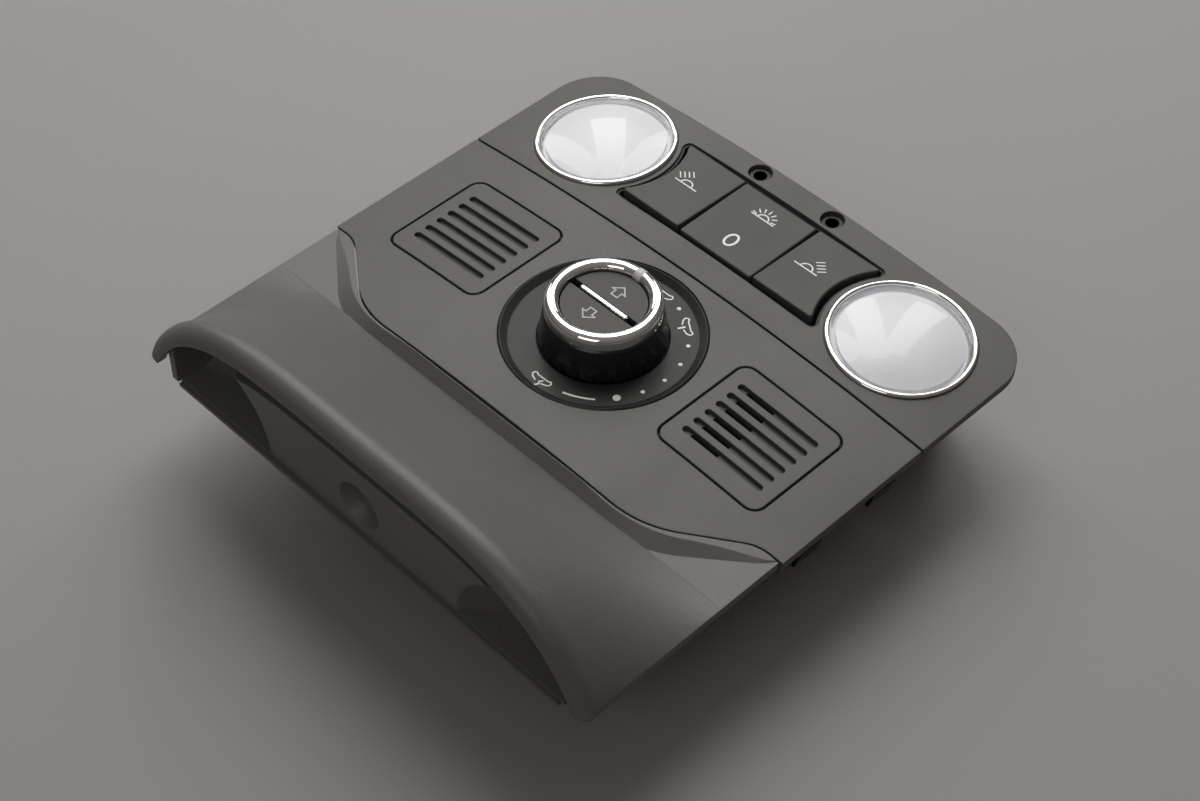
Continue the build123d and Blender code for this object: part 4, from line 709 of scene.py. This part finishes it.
DOTS = dot_row_tree()
DOT_STEP = -18
DOT_ROWS = (("closed_dot", 1, 72, 0.62), ("tilt_dots", 4, 36, 0.62), ("open_dot", 1, -36, 1.15))
for name, count, start, size in DOT_ROWS:
    from_nodes(name, DOTS, {
        "Count": count, "Radius": SCALE_R * MM, "Start": math.radians(start), "Step": math.radians(DOT_STEP),
        "Dot Radius": size * MM, "Height": DIAL_Z * MM, "Centre Y": DIAL_Y * MM, "Ink": ink_finish,
    }, "base")

# %% [markdown]
# ### Arrows on the half buttons
# Two open arrows point away from the bright bar. They are drawn once, and turned for the second button.

# %% Button arrows
CAP_TOP = 53.4
ARROW = [(-1.15, -1.9), (1.15, -1.9), (1.15, 0.1), (2.4, 0.1), (0.0, 2.4), (-2.4, 0.1), (-1.15, 0.1)]
for name, body, way in (("open_arrow", "shade_open", 1), ("close_arrow", "shade_close", -1)):
    arrow = Sign(name, body, "knob_plastic", lambda x, y: CAP_TOP, grey_ink_finish)
    arrow.stroke([(px * way, DIAL_Y + way * (5.8 + py)) for px, py in ARROW], 0.42, closed=True)
    arrow.finish()

# %% [markdown]
# ## Fluted bowls
# The reflector behind each lens carries radial flutes that spread the light. The bowl follows a rule, a
# quarter ellipse turned round the lens axis with a wave on it, so Geometry Nodes can make it from a grid:
# one direction of the grid runs round the bowl, the other from the rim to the lamp.

# %% Fluted bowls
def fluted_bowl_tree():
    tree, given, result = new_tree("fluted_bowl", {
        "Rim Radius": "Float", "Low Radius": "Float", "Depth": "Float",
        "Flutes": "Float", "Flute Depth": "Float", "Finish": "Material",
    })

    def times(one, two):
        return number_math(tree, "MULTIPLY", one, two)

    grid = add_node(tree, "GeometryNodeMeshGrid", {
        "Size X": 1.0, "Size Y": 1.0, "Vertices X": ROUND_POINTS, "Vertices Y": DOWN_POINTS,
    }).outputs[0]
    place = tree.nodes.new("GeometryNodeInputPosition").outputs[0]
    split = add_node(tree, "ShaderNodeSeparateXYZ", {0: place}).outputs
    angle = times(split["X"], 2 * math.pi)
    fall = number_math(tree, "MULTIPLY_ADD", split["Y"], math.pi / 2, math.pi / 4)
    inward = number_math(tree, "COSINE", fall)
    width = number_math(tree, "SUBTRACT", given["Rim Radius"], given["Low Radius"])
    radius = number_math(tree, "MULTIPLY_ADD", width, inward, given["Low Radius"])
    half_turns = times(times(angle, given["Flutes"]), 0.5)
    wave = number_math(tree, "ABSOLUTE", number_math(tree, "SINE", half_turns))
    flute = times(times(wave, given["Flute Depth"]), inward)
    fluted = number_math(tree, "SUBTRACT", radius, flute)
    down = times(times(number_math(tree, "SINE", fall), given["Depth"]), -1.0)
    x = times(fluted, number_math(tree, "COSINE", angle))
    y = times(fluted, number_math(tree, "SINE", angle))
    bowl = moved(tree, grid, x, y, down)
    joined = add_node(tree, "GeometryNodeMergeByDistance", {"Geometry": bowl, "Distance": 1e-6}).outputs[0]
    smooth = add_node(tree, "GeometryNodeSetShadeSmooth", {"Geometry": joined}).outputs[0]
    painted(tree, smooth, given["Finish"], result)
    return tree


ROUND_POINTS = 289
DOWN_POINTS = 20
BOWL = fluted_bowl_tree()
BOWL_RIM = 18.9
BOWL_LOW = 6.5
BOWL_DEPTH = 16.2
BOWL_T = 0.25
BOWL_DROP = 2.1
HEART_DROP = 6
FLUTES = 36.0
FLUTE_DEPTH = 1.1
for name, side, finish in (("left_flutes", -1, left_silver_finish), ("right_flutes", 1, right_silver_finish)):
    piece = from_nodes(name, BOWL, {
        "Rim Radius": BOWL_RIM * MM, "Low Radius": BOWL_LOW * MM, "Depth": BOWL_DEPTH * MM,
        "Flutes": FLUTES, "Flute Depth": FLUTE_DEPTH * MM, "Finish": finish,
    }, "base")
    origin, across, axis = lens_frame(side)
    stand = Matrix((across, axis.cross(across), axis)).transposed().to_4x4()
    stand.translation = (origin - axis * BOWL_DROP) * MM
    piece.data.transform(stand)
    shell = bmesh.new()
    shell.from_mesh(piece.data)
    bmesh.ops.recalc_face_normals(shell, faces=shell.faces)
    heart = (origin - axis * HEART_DROP) * MM
    if sum((heart - f.calc_center_median()).dot(f.normal) for f in shell.faces) < 0:
        bmesh.ops.reverse_faces(shell, faces=shell.faces)
    bmesh.ops.solidify(shell, geom=shell.faces, thickness=BOWL_T * MM)
    shell.to_mesh(piece.data)
    shell.free()

# %% [markdown]
# ## Slot floors
# The slots of the grilles are shallow: their floor lies little more than a millimetre below the face. The
# floors repeat in even rows, so Geometry Nodes sets one slim bar into each slot. In the right grille the
# bars leave a gap, where a microphone sits behind a dark window.

# %% Slot floors
def bar_row_tree():
    tree, given, result = new_tree("bar_row", {
        "Count": "Int", "Pitch": "Float", "Bar Size": "Vector",
        "First Place": "Vector", "Turn": "Vector", "Finish": "Material",
    })
    step = add_node(tree, "ShaderNodeCombineXYZ", {"Y": given["Pitch"]}).outputs[0]
    row = add_node(tree, "GeometryNodeMeshLine", {
        "Count": given["Count"], "Start Location": given["First Place"], "Offset": step,
    }).outputs[0]
    bar = add_node(tree, "GeometryNodeMeshCube", {"Size": given["Bar Size"]}).outputs[0]
    painted(tree, copies(tree, row, bar, Rotation=given["Turn"]), given["Finish"], result)
    return tree


BARS = bar_row_tree()
GRILLE_Y = 6.1
SLOT_PITCH = 4.4
SLOT_COUNT = 6
SLOT_W = 2.3
SLOT_DEPTH = 1.4
BAR_T = 1.6
FIRST_SLOT_Y = GRILLE_Y - SLOT_PITCH * (SLOT_COUNT - 1) / 2
BAR_ROWS = (
    ("left_slot_floors", -69.3, -39.9), ("right_slot_floors", 52.8, 69.3), ("right_slot_ends", 39.9, 43.0),
)
for name, x_from, x_to in BAR_ROWS:
    x = (x_from + x_to) / 2
    bar_z = face_z(x) - SLOT_DEPTH - BAR_T / 2
    from_nodes(name, BARS, {
        "Count": SLOT_COUNT, "Pitch": SLOT_PITCH * MM, "Finish": grille_finish,
        "Bar Size": ((x_to - x_from) * MM, SLOT_W * MM, BAR_T * MM),
        "Turn": (0.0, math.asin(x / CROWN_R), 0.0),
        "First Place": (x * MM, FIRST_SLOT_Y * MM, bar_z * MM),
    }, "base")

# %% [markdown]
# ## Fascia strip
# The strip under the lip is an arch with a smooth ball-shaped finger scoop at each end and a round recess in
# the middle. Its face is a height field: each point of an even net lies as far back as the deepest of these
# hollows says. A second net behind it gives the strip its thickness.

# %% Fascia strip
FASCIA_Y = -86.25
FASCIA_LOW = 30.5
FASCIA_END = 76.4
FASCIA_RISE = 24.6
FASCIA_T = 2.4
ARCH_N = 4.5
ARCH_M = 1.1
LEAST_H = 0.2
SCOOP_X = 61.5
SCOOP_HEART_Y = -106.93
SCOOP_Z = 31.0
SCOOP_BALL = 31.68
CONE_Z = 40.5
CONE_R = 7.7
CONE_IN_R = 5.2
CONE_DEPTH = 4.5
CUP_DEPTH = 6.3
COLUMNS = 360
ROWS = 48
FASCIA_CREASE = 0.6


def fascia_height(x):
    """Height of the arched strip above its lower edge."""
    lean = min(1.0, (abs(x) / FASCIA_END) ** (ARCH_N / 2))
    return max(LEAST_H, FASCIA_RISE * math.sqrt(1 - lean * lean) ** (2 / ARCH_M))


def fascia_depth(x, z):
    """How far the face of the strip lies back in the scoops and in the round recess."""
    across = SCOOP_BALL ** 2 - (abs(x) - SCOOP_X) ** 2 - (z - SCOOP_Z) ** 2
    scoop = SCOOP_HEART_Y + math.sqrt(max(0.0, across)) - FASCIA_Y
    radius = math.hypot(x, z - CONE_Z)
    cone = CONE_DEPTH * min(1.0, (CONE_R - radius) / (CONE_R - CONE_IN_R))
    if radius < CONE_IN_R:
        cone = CUP_DEPTH
    return max(0.0, scoop, cone)


strip = bmesh.new()
front, rear = [], []
for i in range(COLUMNS + 1):
    x = FASCIA_END * (2 * i / COLUMNS - 1)
    column = [FASCIA_LOW + fascia_height(x) * k / ROWS for k in range(ROWS + 1)]
    for side, shift in ((front, 0.0), (rear, FASCIA_T)):
        points = [Vector((x, FASCIA_Y + fascia_depth(x, z) + shift, z)) * MM for z in column]
        side.append([strip.verts.new(p) for p in points])
for i in range(COLUMNS):
    for k in range(ROWS):
        strip.faces.new((front[i][k], front[i + 1][k], front[i + 1][k + 1], front[i][k + 1]))
        strip.faces.new((rear[i][k], rear[i][k + 1], rear[i + 1][k + 1], rear[i + 1][k]))
    strip.faces.new((front[i][0], rear[i][0], rear[i + 1][0], front[i + 1][0]))
    strip.faces.new((front[i][ROWS], front[i + 1][ROWS], rear[i + 1][ROWS], rear[i][ROWS]))
for k in range(ROWS):
    strip.faces.new((front[0][k], front[0][k + 1], rear[0][k + 1], rear[0][k]))
    strip.faces.new((front[-1][k], rear[-1][k], rear[-1][k + 1], front[-1][k + 1]))
fascia_strip = keep_piece("fascia_strip", strip, fascia_lightened_finish, "base", FASCIA_CREASE)
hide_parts("front_fascia")

# %% [markdown]
# ## Plates around the fascia
# A narrow flange runs along the lower edge of the strip, and two arms lead back from it under the panel. Each
# scoop ends in a flat floor, and a cheek closes the nose at each side, so that hardly any light shows under the
# lip. All of these are flat plates: an outline, given a thickness.

# %% Plates
def plate(name, outline, thickness, finish, body):
    """A closed plate: outline points in space, moved by the thickness vector."""
    solid = bmesh.new()
    low = [solid.verts.new(Vector(p) * MM) for p in outline]
    top = [solid.verts.new((Vector(p) + Vector(thickness)) * MM) for p in outline]
    solid.faces.new(low)
    solid.faces.new(top)
    for i in range(len(low)):
        j = (i + 1) % len(low)
        solid.faces.new((low[i], low[j], top[j], top[i]))
    return keep_piece(name, solid, finish, body)


PLATE_T = 1.2
PLATE_LOW = FASCIA_LOW - PLATE_T
FLANGE_OUT = 1.4
flange = [(x, y, PLATE_LOW) for x, y in (
    (-FASCIA_END, FASCIA_Y - FLANGE_OUT), (FASCIA_END, FASCIA_Y - FLANGE_OUT),
    (FASCIA_END, FASCIA_Y + FASCIA_T), (-FASCIA_END, FASCIA_Y + FASCIA_T),
)]
plate("fascia_flange", flange, (0, 0, PLATE_T), fascia_lightened_finish, "base")

ARM_T = 2
ARM_OUTLINE = ((34, -86), (46, -86), (46, -33.5), (34, -33.5))
TRAY_END = 77.4
TRAY_R = 33.4
TRAY_LOW = PLATE_LOW + 0.2
TRAY_STEPS = 32
tray_reach = math.sqrt(TRAY_R ** 2 - (FASCIA_Y - SCOOP_HEART_Y) ** 2)
tray_start = SCOOP_X - tray_reach
tray_rim = []
for k in range(TRAY_STEPS + 1):
    x = tray_start + (TRAY_END - tray_start) * k / TRAY_STEPS
    tray_rim.append((x, SCOOP_HEART_Y + math.sqrt(TRAY_R ** 2 - (x - SCOOP_X) ** 2)))
tray_rim.append((TRAY_END, FASCIA_Y))
CHEEK_X = 79.5
CHEEK_T = 2.5
CHEEK_OUTLINE = ((-86.0, 27.5), (-86.0, 45.0), (-46.5, 35.8), (-46.5, 27.5))
for hand, side in (("left", -1), ("right", 1)):
    arm = [(side * x, y, PLATE_LOW - ARM_T) for x, y in ARM_OUTLINE]
    plate(hand + "_fascia_arm", arm, (0, 0, ARM_T), fascia_lightened_finish, "base")
    tray = [(side * x, y, TRAY_LOW) for x, y in tray_rim]
    plate(hand + "_tray_floor", tray, (0, 0, PLATE_T), fascia_lightened_finish, "base")
    cheek = [(side * CHEEK_X, y, z) for y, z in CHEEK_OUTLINE]
    plate(hand + "_cheek", cheek, (side * CHEEK_T, 0, 0), nose_lightened_finish, "base")

# %% [markdown]
# ## Lamp housing
# The tub behind the lens panel has slanted ends, so it stays out of sight from the seats. It is skinned
# over a few rounded outlines: up the outside, over the rim and down the inside.

# %% Lamp housing
HOUSING_X = 82.9
HOUSING_Y0 = 44.05
HOUSING_Y1 = 83.15
HOUSING_R = 9.9
HOUSING_T = 1.6
HOUSING_SLANT = 16.9
HOUSING_KNEE = 30.0
HOUSING_LEVELS = (8, 16, 24, 30, 60)
NOTCH_Z = 24.0
NOTCH_R = 22.4
RIM_BELOW_FACE = 2.6
OUTLINE_STEP = 3


def rounded_outline(half_x, y0, y1, radius, steps=8):
    """Corners of even radius, with points along the straight sides as well."""
    corners = ((half_x, y1, 0), (-half_x, y1, 90), (-half_x, y0, 180), (half_x, y0, 270))
    outline = []
    for x, y, start in corners:
        cx = x - math.copysign(radius, x)
        cy = y - radius if y == y1 else y + radius
        outline += arc(cx, cy, radius, start, start + 90, steps)
    full = []
    for a, b in zip(outline, outline[1:] + outline[:1]):
        span = max(1, int(math.dist(a, b) / OUTLINE_STEP))
        full += [(a[0] + (b[0] - a[0]) * k / span, a[1] + (b[1] - a[1]) * k / span) for k in range(span)]
    return full


def rim_z(x, y):
    """Upper edge of the tub, cut away where the reflectors pass."""
    near = math.hypot(abs(x) - LENS_X, y - LENS_Y) < NOTCH_R
    return NOTCH_Z if near else face_z(x) - RIM_BELOW_FACE


def housing_ring(z, inset):
    """One level of the tub; below the knee its ends lean inwards."""
    slant = HOUSING_SLANT * max(0.0, 1 - z / HOUSING_KNEE)
    half_x = HOUSING_X - inset
    outline = rounded_outline(half_x, HOUSING_Y0 + inset, HOUSING_Y1 - inset, HOUSING_R - inset)
    share = (half_x - slant) / half_x
    return [(x * share, y, min(z, rim_z(x, y))) for x, y in outline]


tub = bmesh.new()
OUTSIDE = [housing_ring(z, 0.0) for z in (0, *HOUSING_LEVELS)]
INSIDE = [housing_ring(z, HOUSING_T) for z in (*HOUSING_LEVELS[::-1], HOUSING_T)]
rings = [[tub.verts.new(Vector(p) * MM) for p in ring] for ring in OUTSIDE + INSIDE]
for one, two in zip(rings, rings[1:]):
    for i in range(len(one)):
        j = (i + 1) % len(one)
        tub.faces.new((one[i], one[j], two[j], two[i]))
tub.faces.new(rings[0])
tub.faces.new(rings[-1])
bmesh.ops.remove_doubles(tub, verts=tub.verts, dist=1e-7)
lamp_tub = keep_piece("lamp_tub", tub, hidden_finish, "base")
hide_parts("lamp_housing")

# %% [markdown]
# ## Floor
# The floor is a wide pale sheet at the height that the housings stand on. It carries only a soft shadow
# and a faint unevenness.

# %% Floor
floor_finish, floor_tree, floor_shader = new_finish("pale_floor")
FLOOR_SIZE = 3.0
floor_cloud = noise(floor_tree, surface_place(floor_tree), 6.0, 4.0)
floor_base = mixed(floor_tree, floor_cloud, (0.262, 0.256, 0.248), (0.290, 0.284, 0.275))
floor_tree.links.new(floor_base, floor_shader.inputs["Base Color"])
floor_shader.inputs["Roughness"].default_value = 0.6
floor_mesh = bpy.data.meshes.new("floor")
floor_grid = bmesh.new()
bmesh.ops.create_grid(floor_grid, x_segments=2, y_segments=2, size=FLOOR_SIZE)
floor_grid.to_mesh(floor_mesh)
floor_grid.free()
floor_mesh.materials.append(floor_finish)
floor = bpy.data.objects.new("floor", floor_mesh)
scene.collection.objects.link(floor)
print("floor:", [round(v, 2) for v in floor.dimensions])
